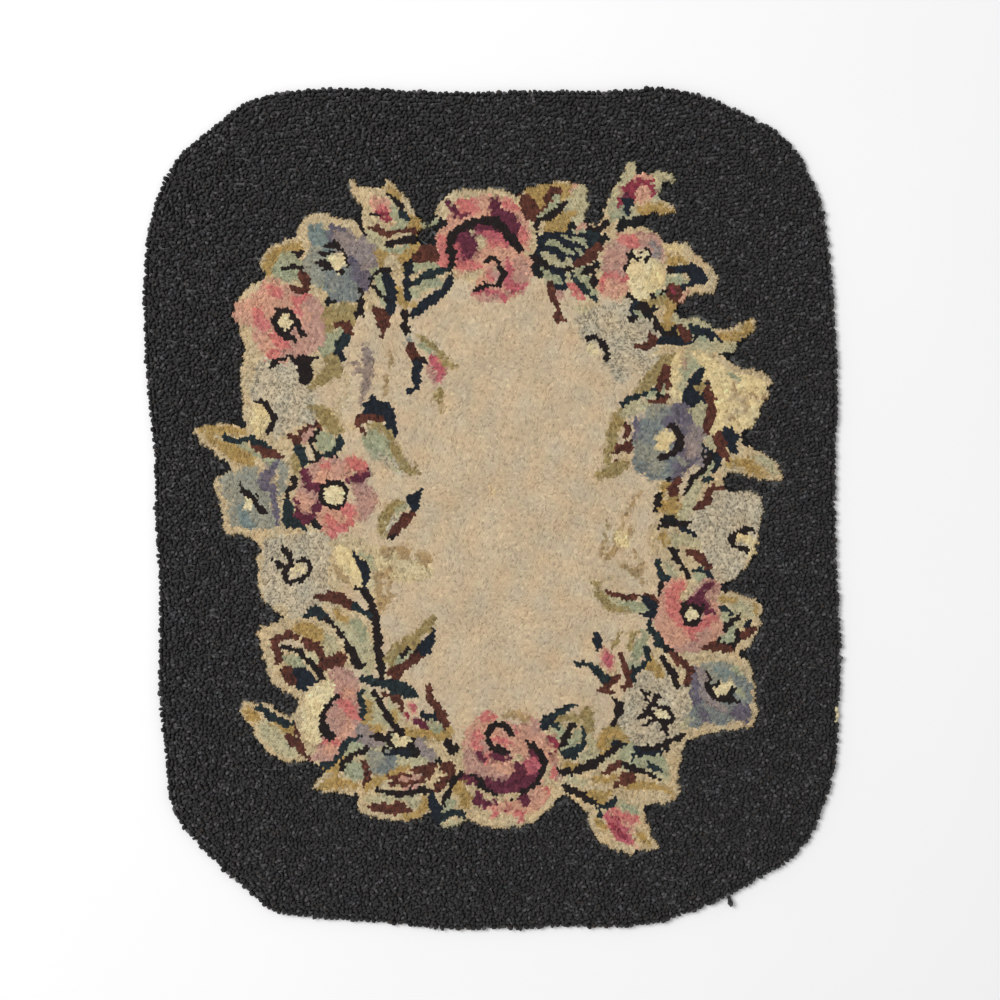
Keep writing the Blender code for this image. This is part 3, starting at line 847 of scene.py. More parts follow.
soot -105 -229 3, -101 -227 4
mauve -124 -210 8, -119 -218 10, -113 -222 7, -103 -223 5
mauve -68 -222 10, -60 -231 12, -57 -240 8
ivory oval -86 -220 8.5 5.2
# A small plum bud between brown sepals, under a navy leaf.
sage -96 -184 7, -93 -192 8, -90 -200 8
mustard -93 -193 6, -91 -200 7
cream -82 -184 8, -72 -186 14, -64 -188 12
umber -103 -176 4, -96 -177 5, -90 -180 7, -86 -186 7, -86 -190 4
teal -124 -160 5, -115 -163 8, -102 -165 9, -91 -169 13, -82 -172 14, -76 -177 8, -69 -177 2
salmon -78 -185 6, -74 -192 7
rose -75 -186 5, -74 -190 4
garnet -84 -193 3, -80 -196 5
plum -75 -199 4, -68 -202 7, -62 -205 7
navy -65 -195 5, -58 -198 7, -52 -197 6
umber -60 -169 5, -59 -177 7, -55 -185 8, -50 -190 9, -46 -198 9, -43 -204 7, -46 -209 3
mint -57 -203 7, -51 -209 8
mustard -82 -209 4, -70 -212 6, -60 -215 8, -50 -218 6, -42 -214 7, -39 -208 5
sand -58 -222 8, -48 -228 10, -38 -238 10
soot -41 -221 5, -39 -228 8, -33 -230 5
# Brown and mustard leaves along the wreath's foot, on the left.
sand -162 -262 14, -140 -258 24, -120 -262 20, -95 -262 24, -70 -256 26, -52 -250 16
sand -118 -280 20, -95 -284 24, -72 -282 24, -60 -272 16
mint -136 -246 12, -130 -247 16, -127 -253 12
mustard -163 -264 7, -154 -262 9, -144 -260 9, -133 -261 7, -123 -263 3
mustard -148 -252 7, -145 -243 6, -142 -238 3
umber -122 -240 4, -119 -246 6, -118 -254 8, -121 -262 3
teal -160 -243 5, -154 -243 6, -148 -238 5, -143 -231 6, -138 -223 8, -132 -219 6, -126 -216 4
soot -142 -245 4, -140 -240 5, -133 -234 5, -125 -231 6, -119 -227 6
teal -124 -172 4, -124 -182 6, -122 -192 6, -122 -198 4
mustard -118 -264 6, -110 -259 6, -100 -254 5, -86 -247 6, -80 -245 4
umber -97 -255 5, -88 -254 7, -78 -253 6
umber -76 -248 5, -65 -246 7, -52 -243 5
umber -57 -248 6, -61 -253 7, -70 -259 6, -82 -260 5, -96 -261 5
blush -88 -257 2, -76 -256 4, -66 -252 3
blush -84 -264 3, -68 -263 3
soot -108 -267 3, -102 -268 6, -92 -269 6, -80 -268 4, -70 -268 5, -61 -267 7, -56 -270 5
sage -118 -274 7, -100 -275 7, -88 -274 5, -78 -273 8, -72 -279 10
mustard -63 -274 5, -65 -283 9, -72 -290 7, -85 -293 4
umber -116 -283 4, -108 -283 9, -98 -285 11, -88 -283 13, -82 -284 8, -78 -285 3
sand -57 -262 6, -50 -268 8, -40 -262 10, -34 -270 14, -32 -284 14, -40 -297 12
umber -46 -246 7, -41 -241 6, -37 -247 8, -42 -255 6, -48 -260 8, -52 -266 8
navy -57 -274 8, -54 -282 11, -52 -291 10, -51 -298 6
teal -48 -293 6, -42 -290 6, -35 -288 7, -29 -290 8, -26 -293 3
sage -44 -301 6, -36 -298 7, -28 -297 4
mustard -30 -262 6, -29 -270 8, -28 -280 8
soot -28 -256 5, -35 -262 6, -40 -268 6, -45 -275 6, -45 -281 4
mint -37 -276 5, -38 -282 5
# The rose at the foot: coral outside, a plum crescent and a dark S inside.
sand -26 -225 14, -24 -250 20, -14 -285 22, 8 -292 22, 32 -288 22, 52 -272 20, 60 -252 16, 60 -232 14, 48 -212 14
salmon -6 -203 18, -18 -214 16, -20 -228 14
blush -22 -232 10, -16 -246 18, 0 -240 40, 22 -226 40, 40 -212 18
salmon 10 -216 30, 16 -236 30, 30 -215 20
coral -8 -199 8, -2 -196 8, 2 -199 5
coral -14 -212 6, -16 -220 9, -12 -226 8
coral -4 -233 8, -6 -240 5
coral 5 -219 7, 13 -221 8, 20 -224 4
salmon 44 -216 12, 52 -224 12, 56 -236 9
blush 60 -243 8, 62 -255 6
coral 59 -247 5, 58 -254 6
coral 47 -263 7, 50 -271 10, 47 -279 5
salmon 44 -260 10, 44 -274 14, 34 -284 12
salmon 0 -282 8, 12 -284 12, 26 -284 12
coral 3 -287 8, 2 -291 5
coral 26 -288 8, 28 -296 6
sand 26 -236 8, 22 -240 6
plum -27 -254 4, -15 -256 10, -4 -260 9, 8 -261 9, 20 -260 9, 25 -250 9, 24 -244 6
plum 34 -243 14, 36 -252 18, 28 -260 12
rose 33 -240 6, 38 -246 10, 40 -236 8
plum 38 -226 5, 40 -234 7
plum -15 -272 9, -9 -279 11, 2 -277 7
plum 30 -273 7, 33 -279 6
garnet 13 -287 3, 15 -282 4, 18 -281 3
soot 18 -214 5, 14 -208 6, 5 -205 5, -2 -207 4, -4 -213 4, -2 -221 5, 1 -227 4
soot 1 -227 4, 8 -227 4, 14 -231 6, 16 -238 4
garnet 2 -236 6, 8 -232 4
plum -13 -231 4, -10 -235 8, -12 -241 3
rose 23 -208 3, 24 -212 3
blush 20 -196 6, 34 -198 8, 46 -204 5
straw 10 -196 5, 22 -195 8, 36 -199 6
soot -3.4 -212 5, 0.5 -206 6, 7.6 -204.5 7, 14.7 -209 7, 19.4 -214 4
soot -3 -214 4, -3.4 -219 5, -1.1 -226 5, 6 -230 6, 10.7 -229 5, 16 -236 5
plum -12 -232 6, -9 -238 7
plum 2 -234 7, 10 -236 8, 17 -237 6
plum 53 -217 6, 59 -224 8, 59 -234 6
mustard -33 -264 12, -26 -272 13, -24 -280 10
plum -6 -262 5, 6 -268 6, 22 -267 6, 34 -262 6
soot 34 -221 5, 41 -226 6, 46 -234 7, 49 -243 6, 45 -255 5, 38 -263 5,
 28 -269 5, 12 -273 6, 0 -271 7, -7 -265 6, -12 -258 6, -20 -253 4
# Navy and brown stems, and a pale leaf with a mustard edge, along the foot on the right.
sand 70 -256 10, 90 -260 20, 112 -262 26, 135 -266 24, 158 -266 26, 172 -270 14
sand 172 -262 14, 170 -245 14, 174 -232 14, 178 -222 10
sage 118 -236 14, 130 -232 12, 160 -250 12, 163 -258 8
soot 63 -248 5, 70 -250 8, 80 -249 6, 90 -245 6, 97 -241 7, 103 -236 6, 110 -231 5, 117 -228 4
navy 111 -219 4, 117 -223 8, 126 -225 7, 133 -229 9, 142 -231 10, 150 -230 8, 158 -230 7
soot 140 -226 4, 152 -227 5, 163 -223 6, 172 -219 6, 179 -215 7, 183 -213 4
mint 124 -233 7, 129 -228 6
teal 134 -238 4, 142 -236 4
mint 134 -242 5, 142 -239 8, 152 -240 10, 161 -243 11, 165 -250 8
teal 148 -242 4, 154 -245 6, 160 -248 4
umber 107 -250 4, 113 -246 8, 120 -242 7
umber 118 -262 4, 125 -257 8, 134 -255 7, 124 -252 6
mustard 98 -256 5, 108 -257 7, 115 -255 5
mustard 126 -264 4, 140 -262 7, 155 -263 7, 165 -266 6, 172 -273 5
mustard 94 -269 7, 100 -273 9, 110 -270 7
sage 75 -257 7, 86 -259 8
soot 67 -263 5, 73 -266 7, 82 -269 8, 88 -273 7
sand 70 -271 3, 80 -275 3, 88 -282 5
# A leaf that curls into a ring, right of the foot rose, and its olive neighbour.
sand 62 -208 26, 72 -214 40, 74 -230 30, 90 -230 26
olive 90 -193 12, 92 -206 12, 88 -220 8
olive 112 -212 12, 104 -222 14, 102 -228 6
olive 108 -213 12, 120 -214 12, 124 -219 6
sage 92 -218 10, 97 -229 12, 86 -237 9
mustard 70 -242 6, 80 -244 6, 86 -243 4
teal 47 -206 4, 52 -200 9, 60 -195 6, 68 -190 5, 75 -187 4, 81 -188 2
navy 52 -206 8, 56 -203 8
olive 62 -201 5, 70 -197 7, 80 -198 9, 88 -200 9
mint 58 -208 7, 64 -210 8, 63 -216 6
teal 60 -205 3, 64 -208 3
mint 84 -211 6, 79 -218 9, 72 -226 8, 66 -231 5
soot 77 -205 6, 73 -210 7, 69 -217 7, 66 -223 7, 62 -227 3
teal 86 -208 4, 88 -216 4, 86 -223 6, 80 -229 7, 74 -233 11, 66 -231 4
garnet 52 -215 3, 58 -218 6, 60 -226 5, 60 -233 5
# A rose bud in mustard sepals that hangs below the wreath on the right.
sand 92 -282 8, 98 -296 12, 112 -308 24, 126 -318 16, 132 -326 6
sand 125 -276 14, 132 -290 24, 134 -304 30, 144 -316 18, 156 -321 6
mint 124 -280 8, 131 -285 8, 139 -288 4
mustard 99 -296 6, 104 -301 8, 110 -302 5
mustard 138 -308 5, 143 -313 9, 149 -317 5
salmon 104 -290 6, 112 -291 8, 122 -296 16, 130 -300 16
coral 119 -285 6, 122 -292 7
coral 130 -294 6, 136 -293 6
sand 106 -289 5, 112 -290 3
garnet 112 -297 5, 117 -292 7, 118 -299 8
rose 116 -299 7, 122 -305 8, 129 -311 8
teal 99 -283 5, 107 -282 6, 114 -280 7, 117 -275 4
teal 100 -286 5, 104 -292 4
salmon 116 -308 5, 124 -315 4
rose 110 -291 8, 117 -301 13, 126 -310 12, 133 -316 7
garnet 113 -298 5, 119 -305 6, 126 -311 6
coral 119 -288 7, 127 -292 6, 137 -295 6
# A yellow-cream lily with faint sand marks, its tips out over the ground on the right.
sand 196 150 6, 206 146 7, 218 140 8, 230 132 7, 238 129 5, 248 129 6, 258 123 6, 266 119 3
butter 194 147 7, 203 137 16, 213 122 22, 222 104 32, 230 90 32
butter 215 122 14, 232 118 18, 246 115 18, 260 118 6
butter 225 96 40, 240 96 30, 252 103 14
butter 212 82 12, 228 80 10, 245 80 10
butter 209 74 7, 206 72 5
sand 229 122 7, 229 112 5, 232 105 5, 244 106 5, 256 104 5, 261 108 5
sand 238 101 5, 237 93 6, 229 90 5, 223 84 4
sand 224 104 4, 227 100 3
mint 226 127 4, 232 122 4
straw 230 118 3, 230 109 3
straw 241 103 3, 241 90 3
straw 225 106 2.5, 243 107 2.5, 261 105 2.5
straw 222 92 3, 234 80 3
# Olive, brown and cream strips above the blue flower.
sand 180 148 12, 184 136 18, 180 116 18, 172 104 16
olive 176 147 4, 168 142 8, 160 134 12, 152 124 14, 144 116 11, 138 112 5
umber 165 134 6, 165 126 12, 163 118 13, 157 113 7
mint 163 116 4, 161 112 3
butter 176 148 5, 174 136 8, 174 120 10, 175 108 8
sage 186 148 8, 186 138 10, 182 126 8, 180 112 7
blush 182 138 4, 185 131 4
mint 191 138 7, 195 132 5
teal 198 130 6, 195 124 9, 188 119 6
navy 190 112 9, 184 106 10, 190 102 10, 200 103 7, 204 110 6, 204 119 5
olive 193 118 6, 197 113 6
mint 194 103 4, 198 102 3
teal 191 97 6, 195 97 4
sage 199 96 10, 194 88 14, 197 79 8
umber 204 118 4, 206 108 5, 208 98 5, 206 89 6, 202 83 5, 202 75 5, 207 69 3
# A navy and mint strip that ends in a mustard tip, over the ground on the right.
sand 212 167 5, 222 163 14, 233 166 15, 243 172 12, 248 178 6
sage 195 154 8, 205 154 9, 215 153 10, 228 153 7
sage 172 180 6, 185 177 8, 197 176 7, 205 171 4
mustard 217 163 5, 226 162 9, 235 165 9, 242 171 8, 245 178 3
umber 176 173 4, 182 168 9, 186 162 8
teal 190 171 8, 197 168 9
navy 202 166 11, 210 163 7, 218 158 4
mint 195 160 3, 199 162 4
# An olive leaf that hangs left of the blue flower, with brown veins and a navy top.
olive 124 92 10, 118 80 14, 114 68 10, 112 55 10, 109 43 5
olive 128 43 6, 118 38 14, 108 33 10, 98 33 4
sage 128 92 12, 138 97 12, 148 96 10, 154 92 5
cream 132 76 5, 134 66 5
sand 122 50 8, 128 48 8
umber 127 82 3, 128 74 6, 126 67 4
umber 131 62 6, 125 59 8, 118 56 5, 115 52 4
umber 131 57 5, 129 54 3
umber 118 46 3, 113 44 2
teal 123 98 5, 130 104 5, 140 106 5, 148 110 5, 155 112 4
mint 154 107 5, 148 107 3
umber 148 102 3, 154 100 7, 162 103 6, 166 107 4
# A grey-blue flower with a big ivory eye and a black crescent.
stone petal 163 63 100 37 40
violet petal 163 63 55 38 32
mauve petal 163 63 5 38 40
mauve petal 163 63 325 44 34
violet petal 163 63 290 36 34
slate petal 163 63 255 38 36
slate petal 163 63 225 38 30
stone petal 163 63 185 30 38
slate petal 163 63 145 32 26
violet 137 84 7, 137 74 6, 136 66 5
violet 184 96 5, 172 98 5
violet 176 86 10, 183 82 12, 182 72 6
slate 166 92 8, 158 86 10
violet 173 41 10, 180 36 10, 186 42 6, 194 46 6
stone 160 42 10, 154 36 10
stone 178 46 7, 182 42 5
butter 165 72 7, 163 64 17, 159 58 8
soot 166 79 3, 171 75 5, 176 68 6, 176 60 5, 172 54 5, 165 51 5, 158 49 4
soot 166 79 4, 172 76 6, 178 68 8, 177 59 7, 172 53 6, 164 50 5, 157 48 4
# The mustard and sage leaf that points right, with the brown and navy leaf above it.
sand 233 72 4, 235 62 4, 240 56 6, 250 53 5, 258 50 5
sand 222 38 8, 235 42 16, 250 40 24, 262 36 20, 272 30 8
mustard 222 41 4, 232 43 8, 243 43 10
mustard 246 36 9, 254 34 9, 260 33 6
sage 248 48 6, 262 42 9, 268 34 8
umber 214 71 6, 216 63 9, 219 54 9, 222 47 5
navy 222 73 8, 226 67 14, 229 57 8
# A navy and black stem with mint strips that runs down right of the blue flower.
sand 206 62 10, 214 40 16, 206 28 14, 196 16 18, 186 2 20
sage 205 66 8, 210 58 6
cream 193 38 8, 184 28 8, 180 18 6
mint 208 42 5, 204 35 5, 198 30 5
navy 201 59 4, 206 54 6, 212 49 8, 214 43 7, 211 36 4
soot 206 49 6, 203 42 7, 198 35 6, 191 30 6, 188 23 5, 184 15 6, 181 11 3
teal 200 26 4, 205 27 5, 208 31 3
sage 195 20 10, 188 8 12, 182 -4 12
umber 217 20 4, 206 18 7, 206 10 8, 200 5 7, 192 0 4
mustard 163 22 6, 161 14 4
umber 168 19 4, 174 24 7, 177 28 4
umber 172 20 8, 173 13 8, 171 9 5, 176 9 3
olive 169 7 6, 174 3 11, 168 -4 8
soot 158 15 3, 158 6 6, 155 -2 4
# Black, brown and mint strips between the two right-hand flowers.
sand 156 -20 12, 168 -26 18, 182 -32 20, 190 -48 18, 170 -52 24, 184 -62 16
mustard 163 -26 8, 164 -34 7
sage 174 -30 12, 186 -30 12, 196 -34 8
sage 164 -54 6, 172 -62 8, 178 -66 4
soot 157 -17 3, 166 -16 4, 174 -15 7, 182 -14 6, 188 -13 4
navy 180 -18 5, 186 -22 6, 192 -24 4
soot 172 -40 7, 173 -46 6, 178 -53 6, 183 -60 6, 187 -66 6
umber 185 -43 5, 193 -43 8, 199 -49 9, 205 -56 8
navy 205 -61 8, 207 -67 6
teal 193 -58 5, 198 -59 4
mint 196 -65 8, 194 -68 5
teal 157 -50 5, 158 -58 6, 162 -65 8, 168 -68 8, 176 -67 3
soot 160 -71 4, 159 -78 5, 161 -86 5
mustard 164 3 10, 174 2 12
soot 158.5 14 6, 157 5 7, 154.5 -2 5
sand 155 -40 7, 165 -40 6
# The leaf right of the coral flower: mint with dark veins, and brown below.
sand 214 -84 10, 232 -88 16, 248 -92 12, 248 -106 14, 240 -124 14, 222 -138 10, 196 -142 10
sage 226 -106 24, 236 -96 16, 244 -100 12
mustard 214 -85 5, 223 -86 8, 231 -87 5
mustard 249 -92 5, 250 -100 4
teal 213 -94 5, 219 -94 6, 226 -98 7, 221 -103 4
mint 218 -99 4, 224 -105 4
mint 229 -112 5, 224 -122 13
soot 235 -99 3, 233 -104 4, 226 -109 6, 217 -115 7
umber 235 -119 8, 241 -118 11, 247 -114 7
navy 241 -110 6, 245 -107 5
soot 232 -116 5, 233 -124 5, 226 -130 5, 216 -129 7, 213 -123 5
umber 184 -136 5, 191 -133 9, 200 -131.5 12, 210 -132 12, 220 -134 9, 229 -132 4
# The coral flower on the right, with plum rays and a small ivory eye.
salmon petal 188 -99 120 38 34
salmon petal 188 -99 155 34 30
sand petal 188 -99 90 32 30
blush petal 188 -99 50 42 26
salmon petal 188 -99 355 28 32
salmon petal 188 -99 320 36 34
blush petal 188 -99 270 38 44
salmon petal 188 -99 235 36 34
salmon petal 188 -99 195 36 26
coral 180 -70 8, 172 -80 14, 170 -92 12, 172 -100 10
blush 206 -80 14, 212 -74 10
coral 171 -84 12, 174 -92 10, 176 -104 8, 184 -114 7
salmon 156 -104 10, 162 -112 12, 172 -118 12
coral 208 -104 10, 200 -110 10, 192 -112 8, 190 -122 6
coral 180 -104 6, 176 -110 6
plum 209 -71 5, 203 -75 7, 197 -80 8, 196 -88 7, 200 -88 6
plum 201 -90 6, 204 -96 6, 209 -99 5, 213 -105 2
soot 180 -96 5, 184 -91 5, 191 -89 5, 197 -92 5, 199 -99 5, 194 -105 4, 188 -109 4
soot 180 -103 4, 184 -107 4
ivory 186 -98 8, 190 -101 9
plum 186 -89 6, 194 -86 9, 203 -89 8, 203 -96 6
soot oval 189 -100.5 10.5 11
ivory oval 189 -101 6.8 6.3
# A squarish blue and violet flower in a sand border, with a black L by its eye.
sand 183 -141 8, 200 -139 8, 225 -142 9, 239 -148 10, 245 -165 9, 247 -185 9, 247 -200 8, 242 -205 7
sand 243 -205 6, 225 -206 8, 207 -209 8, 190 -214 7, 184 -218 5
stone 200 -153 14, 214 -153 18, 226 -158 16
duck 214 -150 8, 222 -158 12
slate 232 -160 14, 238 -172 15, 238 -186 14
mauve 196 -158 14, 198 -172 14
violet 191 -156 6, 192 -172 8, 194 -185 8
slate 187 -201 14, 205 -193 20, 222 -189 18
mauve 206 -184 8, 220 -189 6
violet 233 -193 13, 240 -190 11, 242 -199 6
violet 198 -193 8, 203 -200 8
slate 214 -202 8, 226 -200 8
mint 230 -154 6, 237 -158 5
mint 233 -173 5, 238 -177 5
sage 180 -206 8, 186 -200 7
soot 204.5 -154 2, 205 -162 5, 206.5 -170 8, 211 -178 7, 220 -180 5, 228 -181 6, 236 -184 3
ivory 215 -174 8, 221 -169 11, 225 -166 7
# Brown and black strips between the squarish flower and the oat one.
sand 156 -142 14, 170 -148 16, 180 -160 14
mustard 150 -145 8, 154 -150 10, 158 -157 9
umber 171 -136 4, 175 -142 8, 182 -147 8, 187 -153 7, 187 -160 7, 184 -167 5
soot 162 -143 6, 166 -149 6, 171 -156 6, 173 -163 7, 175 -170 5
soot 173 -155 5, 175 -164 4
# A pale lily that shows on the cream only by its sand lines.
straw 141 15.2 3, 134.5 7.3 4, 129 -3 4, 124 -11 4, 121 -19 4, 116 -28 5
straw 110 -14 5, 108.5 -23.5 4, 106 -33 4, 103 -45.5 4
straw 129 -21 3, 133 -19 4, 130 -26 4
straw 124 -35 7, 118 -38 8, 113 -42 7, 107.5 -49.5 3
straw 119 -52 4, 127.5 -56 5, 135 -60 6, 143 -70 5
straw 144.5 -52 6, 143 -56.5 7, 138.5 -61 5
straw 135 -41 4, 137 -47 4
sand 102 -69 6, 113 -66 6
butter 119 -25 9, 124 -30 11, 127 -35 6
sand 153 -26 8, 153 -40 8
umber 31 290 10, 34 284 15, 37 278 12
umber 203 114 7, 207 103 8, 208 90 8, 205 80 8, 202 72 5
navy 195 131 5, 192 121 11, 190 109 15, 190 102 12
olive oval 194 114 5 4
mint 190 137 5, 187 131 5, 184 124 4
umber 213 66 8, 217 58 11, 221 50 7
navy 226 70 10, 228 62 11, 229 55 7
# A leaf that points into the cream from the coral flower, brown above and olive below.
sage 104 -80 6, 114 -86 10, 130 -91 12, 146 -94 10
mint 122 -91 7, 135 -92 8, 146 -94 8
olive 95 -68 4, 101 -77 8, 106 -86 9, 115 -94 7, 130 -97 5
umber 110 -80 3, 120 -82 5, 128 -84 8, 138 -83 4, 150 -82 5, 156 -88 4
navy 145 -84 7, 149 -90 10, 154 -96 8, 149 -100 7, 142 -100 3
teal 149 -106 4, 150 -114 6, 155 -121 7, 160 -127 8, 154 -130 5
# A small coral bud with navy and brown sepals, over the cream on the right.
olive 121 -118 3, 119 -124 6, 115 -129 4
sand 104 -150 10, 112 -158 10, 118 -148 8
salmon 107 -134 8, 108 -144 12, 114 -151 7
rose 110 -138 7, 110 -146 9
navy 97 -118 4, 100 -125 7, 101 -132 5
umber 121 -138 5, 124 -145 6, 127 -152 6, 130 -160 8, 129 -168 7, 123 -168 5
umber 120 -160 5, 113 -164 7, 108 -168 4
umber 101 -171 3, 108 -172 4, 114 -175 3
mint 142 -115 5, 144 -124 9, 138 -134 12, 136 -144 9, 131 -150 4
olive 137 -117 5, 131 -123 6, 132 -133 6
teal 146 -134 8, 148 -142 5, 142 -149 5, 136 -154 8, 134 -161 4
teal 80 -146 3, 91 -148 6, 100 -154 9, 108 -162 8
# Closing strokes
sand -152 190 6, -140 193 6, -131 192 5
olive -155 170 8, -150 182 16, -138 187 16, -131 185 10
umber -147 174 5, -138 174 7, -134 168 7
mint -144 166 8, -151 158 12, -157 150 12
teal -138 163 8, -143 155 12
soot -124 204 5, -124 192 6, -128 183 7
soot -209 136 4, -202 140 5, -191 144 5.5, -183 139 7, -166 142 4
soot -180 134 12, -176 126 13, -177 121 7
mustard -250 60 8, -240 51 13, -230 47 13, -226 44 8
soot -109 -266 4, -96 -270 7, -80 -269 8, -66 -267 7, -58 -265 5
soot -118 -227 5, -133 -235 6, -140.6 -242.5 6, -142 -247 5
soot -42 -221 6, -37 -227 8, -33 -230 5
mustard 126 -217 7, 112 -212 8, 104 -218 8, 105 -228 7
soot 74 -250 6, 84 -246 6, 93 -242 6, 104 -236 6, 114 -229 7, 120 -223 5
mint 123 -236 7, 128 -230 9, 132 -226 7
sand -1 21 4, 1 15 5
oat -26 -171 2, -21 -173 3
oat -18 -176 3, -18 -174 3
mint 134 -242 5, 142 -239 7, 152 -241 9, 161 -244 9, 165 -251 6
teal 148 -242 4, 154 -245.5 6, 160 -248 4
soot 125 -242 5, 131 -245 7, 140 -248 6, 147 -250 5, 153 -254 5, 159 -257 3
soot -120 -80 6, -115 -88 7.5, -111.5 -98 8, -109 -111 8, -108.5 -124 8, -107.5 -137 8, -105.5 -149 7.5, -104 -159 7
soot -158 -206 7, -157 -213 10, -150 -215 6
plum -28 -254 10, -22 -258 9
soot -40 -265 4, -36 -258 6, -30 -252 6
sand -8 -272 5, 8 -274 6, 24 -270 5
"""


def draw_wreath(pattern):
    pattern.draw(WREATH)


def edge_ring():
    """The rug's edge, as the points of the widest ring of its solid, in order round the rug."""
    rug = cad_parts["rug"]
    points = np.unique(np.array([vertex.co[:] for vertex in rug.data.vertices]).round(6), axis=0)
    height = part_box("rug")[1][2]
    ring = points[np.abs(points[:, 2] - height / 2) < height * 0.08]
    order = np.argsort(np.arctan2(ring[:, 1], ring[:, 0]))
    return ring[order][:, :2]


def even_steps(ring, step):
    """Points at even steps along a closed ring."""
    closed = np.vstack([ring, ring[:1]])
    spans = np.hypot(*np.diff(closed, axis=0).T)
    gone = np.concatenate([[0.0], np.cumsum(spans)])
    count = max(8, round(gone[-1] / step))
    marks = np.linspace(0.0, gone[-1], count, endpoint=False)
    return np.column_stack([np.interp(marks, gone, closed[:, axis]) for axis in (0, 1)])


def outward(ring):
    """The level direction out of a ring at each of its points."""
    along = np.roll(ring, -1, axis=0) - np.roll(ring, 1, axis=0)
    along /= np.hypot(*along.T)[:, None]
    across = np.column_stack([along[:, 1], -along[:, 0]])
    if (across * ring).sum() < 0.0:
        across = -across
    return across


def distance_inside(ring, x, y):
    """How far each place is inside the ring, negative outside it."""
    nearest = np.full(x.shape, 9.0)
    crossings = np.zeros(x.shape, int)
    for start, end in zip(ring, np.roll(ring, -1, axis=0)):
        nearest = np.minimum(nearest, span_gap(x, y, start, end)[0])
        if start[1] != end[1]:
            spans = (start[1] > y) != (end[1] > y)
            meets = start[0] + (y - start[1]) / (end[1] - start[1]) * (end[0] - start[0])
            crossings += spans & (x < meets)
    return np.where(crossings % 2 == 1, nearest, -nearest)


EDGE = edge_ring()
RUG_SURFACE = BVHTree.FromObject(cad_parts["rug"], bpy.context.evaluated_depsgraph_get())


def rim_loops():
    """Loops in the rows that follow the edge: x, y, heading, lean outward in x and in y, and row."""
    rows = []
    for row in range(RIM_ROWS):
        inset = FIRST_ROW_INSET + row * ROW_PITCH
        ring = even_steps(EDGE - outward(EDGE) * inset, RIM_PITCH if row == 0 else LOOP_PITCH)
        way = outward(ring)
        ring = ring + way * rng.uniform(*RIM_ROUGH, len(ring))[:, None]
        heading = np.arctan2(way[:, 0], -way[:, 1])
        lean = RIM_LEAN if row == 0 else ROW_LEAN
        number = np.full(len(ring), row)
        rows.append(np.column_stack([ring, heading, way * lean, number]))
    return np.vstack(rows)


def level_loops(centres):
    """Loops in the level rows inside the rim rows and clear of the cells, with the same columns."""
    half_width, half_length = CAD_BOX[1][0], CAD_BOX[1][1]
    levels = np.arange(-half_length, half_length, ROW_PITCH)
    steps = np.arange(-half_width, half_width, LOOP_PITCH)
    x, y = np.meshgrid(steps, levels)
    x = x + rng.uniform(0.0, LOOP_PITCH, levels.size)[:, None]
    x, y = x.ravel(), y.ravel()
    y = swayed(y, x, y, ROW_SWAY)
    x = swayed(x, x, y, COLUMN_SWAY)
    x += rng.normal(0.0, ROUGH_PLACE, x.size)
    y += rng.normal(0.0, ROUGH_PLACE, x.size)
    inside = distance_inside(EDGE, x, y)
    keep = inside > FIRST_ROW_INSET + LEVEL_ROOM * ROW_PITCH
    x, y = x[keep], y[keep]
    tree = KDTree(len(centres))
    for index, (a, b) in enumerate(centres):
        tree.insert((a, b, 0.0), index)
    tree.balance()
    keep = np.array([tree.find((a, b, 0.0))[2] for a, b in zip(x, y)]) > NUB_GAP
    x, y = x[keep], y[keep]
    heading = swayed(ROW_HEADING, x, y, HEADING_SWAY)
    blank = np.zeros_like(x)
    return np.column_stack([x, y, heading, blank, blank, blank + RIM_ROWS])


def pile_top(x, y):
    """The height of the rug's solid under each place."""
    heights = np.empty(x.size)
    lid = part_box("rug")[1][2]
    for index, (a, b) in enumerate(zip(x, y)):
        hit = RUG_SURFACE.ray_cast(Vector((a, b, lid + 0.01)), Vector((0.0, 0.0, -1.0)))[0]
        heights[index] = hit.z if hit else lid
    return heights


def linear(colour):
    """Display colour, 0 to 255, as linear light."""
    share = np.asarray(colour, float) / 255.0
    return np.where(share <= 0.04045, share / 12.92, ((share + 0.055) / 1.055) ** 2.4)


def dye(yarn, x, y):
    """The colour of each loop from its yarn: a shade at random, with slow changes over the rug."""
    colours = np.empty((yarn.size, 3))
    for index, name in enumerate(YARN_NAMES):
        chosen = yarn == index
        shades = np.array(YARNS[name], float)
        pick = rng.choice(len(shades), chosen.sum(), p=shades[:, 0] / shades[:, 0].sum())
        colours[chosen] = shades[pick, 1:]
    warmth = drift(x, y, 0.030, 21)[:, None] * np.array([1.0, -0.2, -1.2])
    depth = 0.5 * drift(x, y, 0.045, 22)[:, None] + rng.normal(0.0, 1.0, yarn.size)[:, None]
    level = colours.mean(axis=1, keepdims=True) / 255.0
    colours = colours * (1.0 + 0.022 * depth) + 2.2 * warmth * level
    return linear(colours.clip(2, 250))


def loop_shape():
    """One loop of yarn seen as a closed nub, one unit in radius and one high, five-sided and cheap to repeat."""
    shape = bmesh.new()
    bmesh.ops.create_icosphere(shape, subdivisions=1, radius=1.0)
    points = sorted(shape.verts, key=lambda point: point.co.z)
    bmesh.ops.delete(shape, geom=points[:1], context="VERTS")
    foot, shoulder, crown = points[1:6], points[6:11], points[11]
    for ring, radius, height in ((foot, 1.0, 0.0), (shoulder, *SHOULDER)):
        for point in ring:
            level = point.co.xy.normalized() * radius
            point.co = (level.x, level.y, height)
    crown.co = (0.0, 0.0, 1.0)
    bmesh.ops.holes_fill(shape, edges=shape.edges[:], sides=5)
    bmesh.ops.recalc_face_normals(shape, faces=shape.faces[:])
    return shape


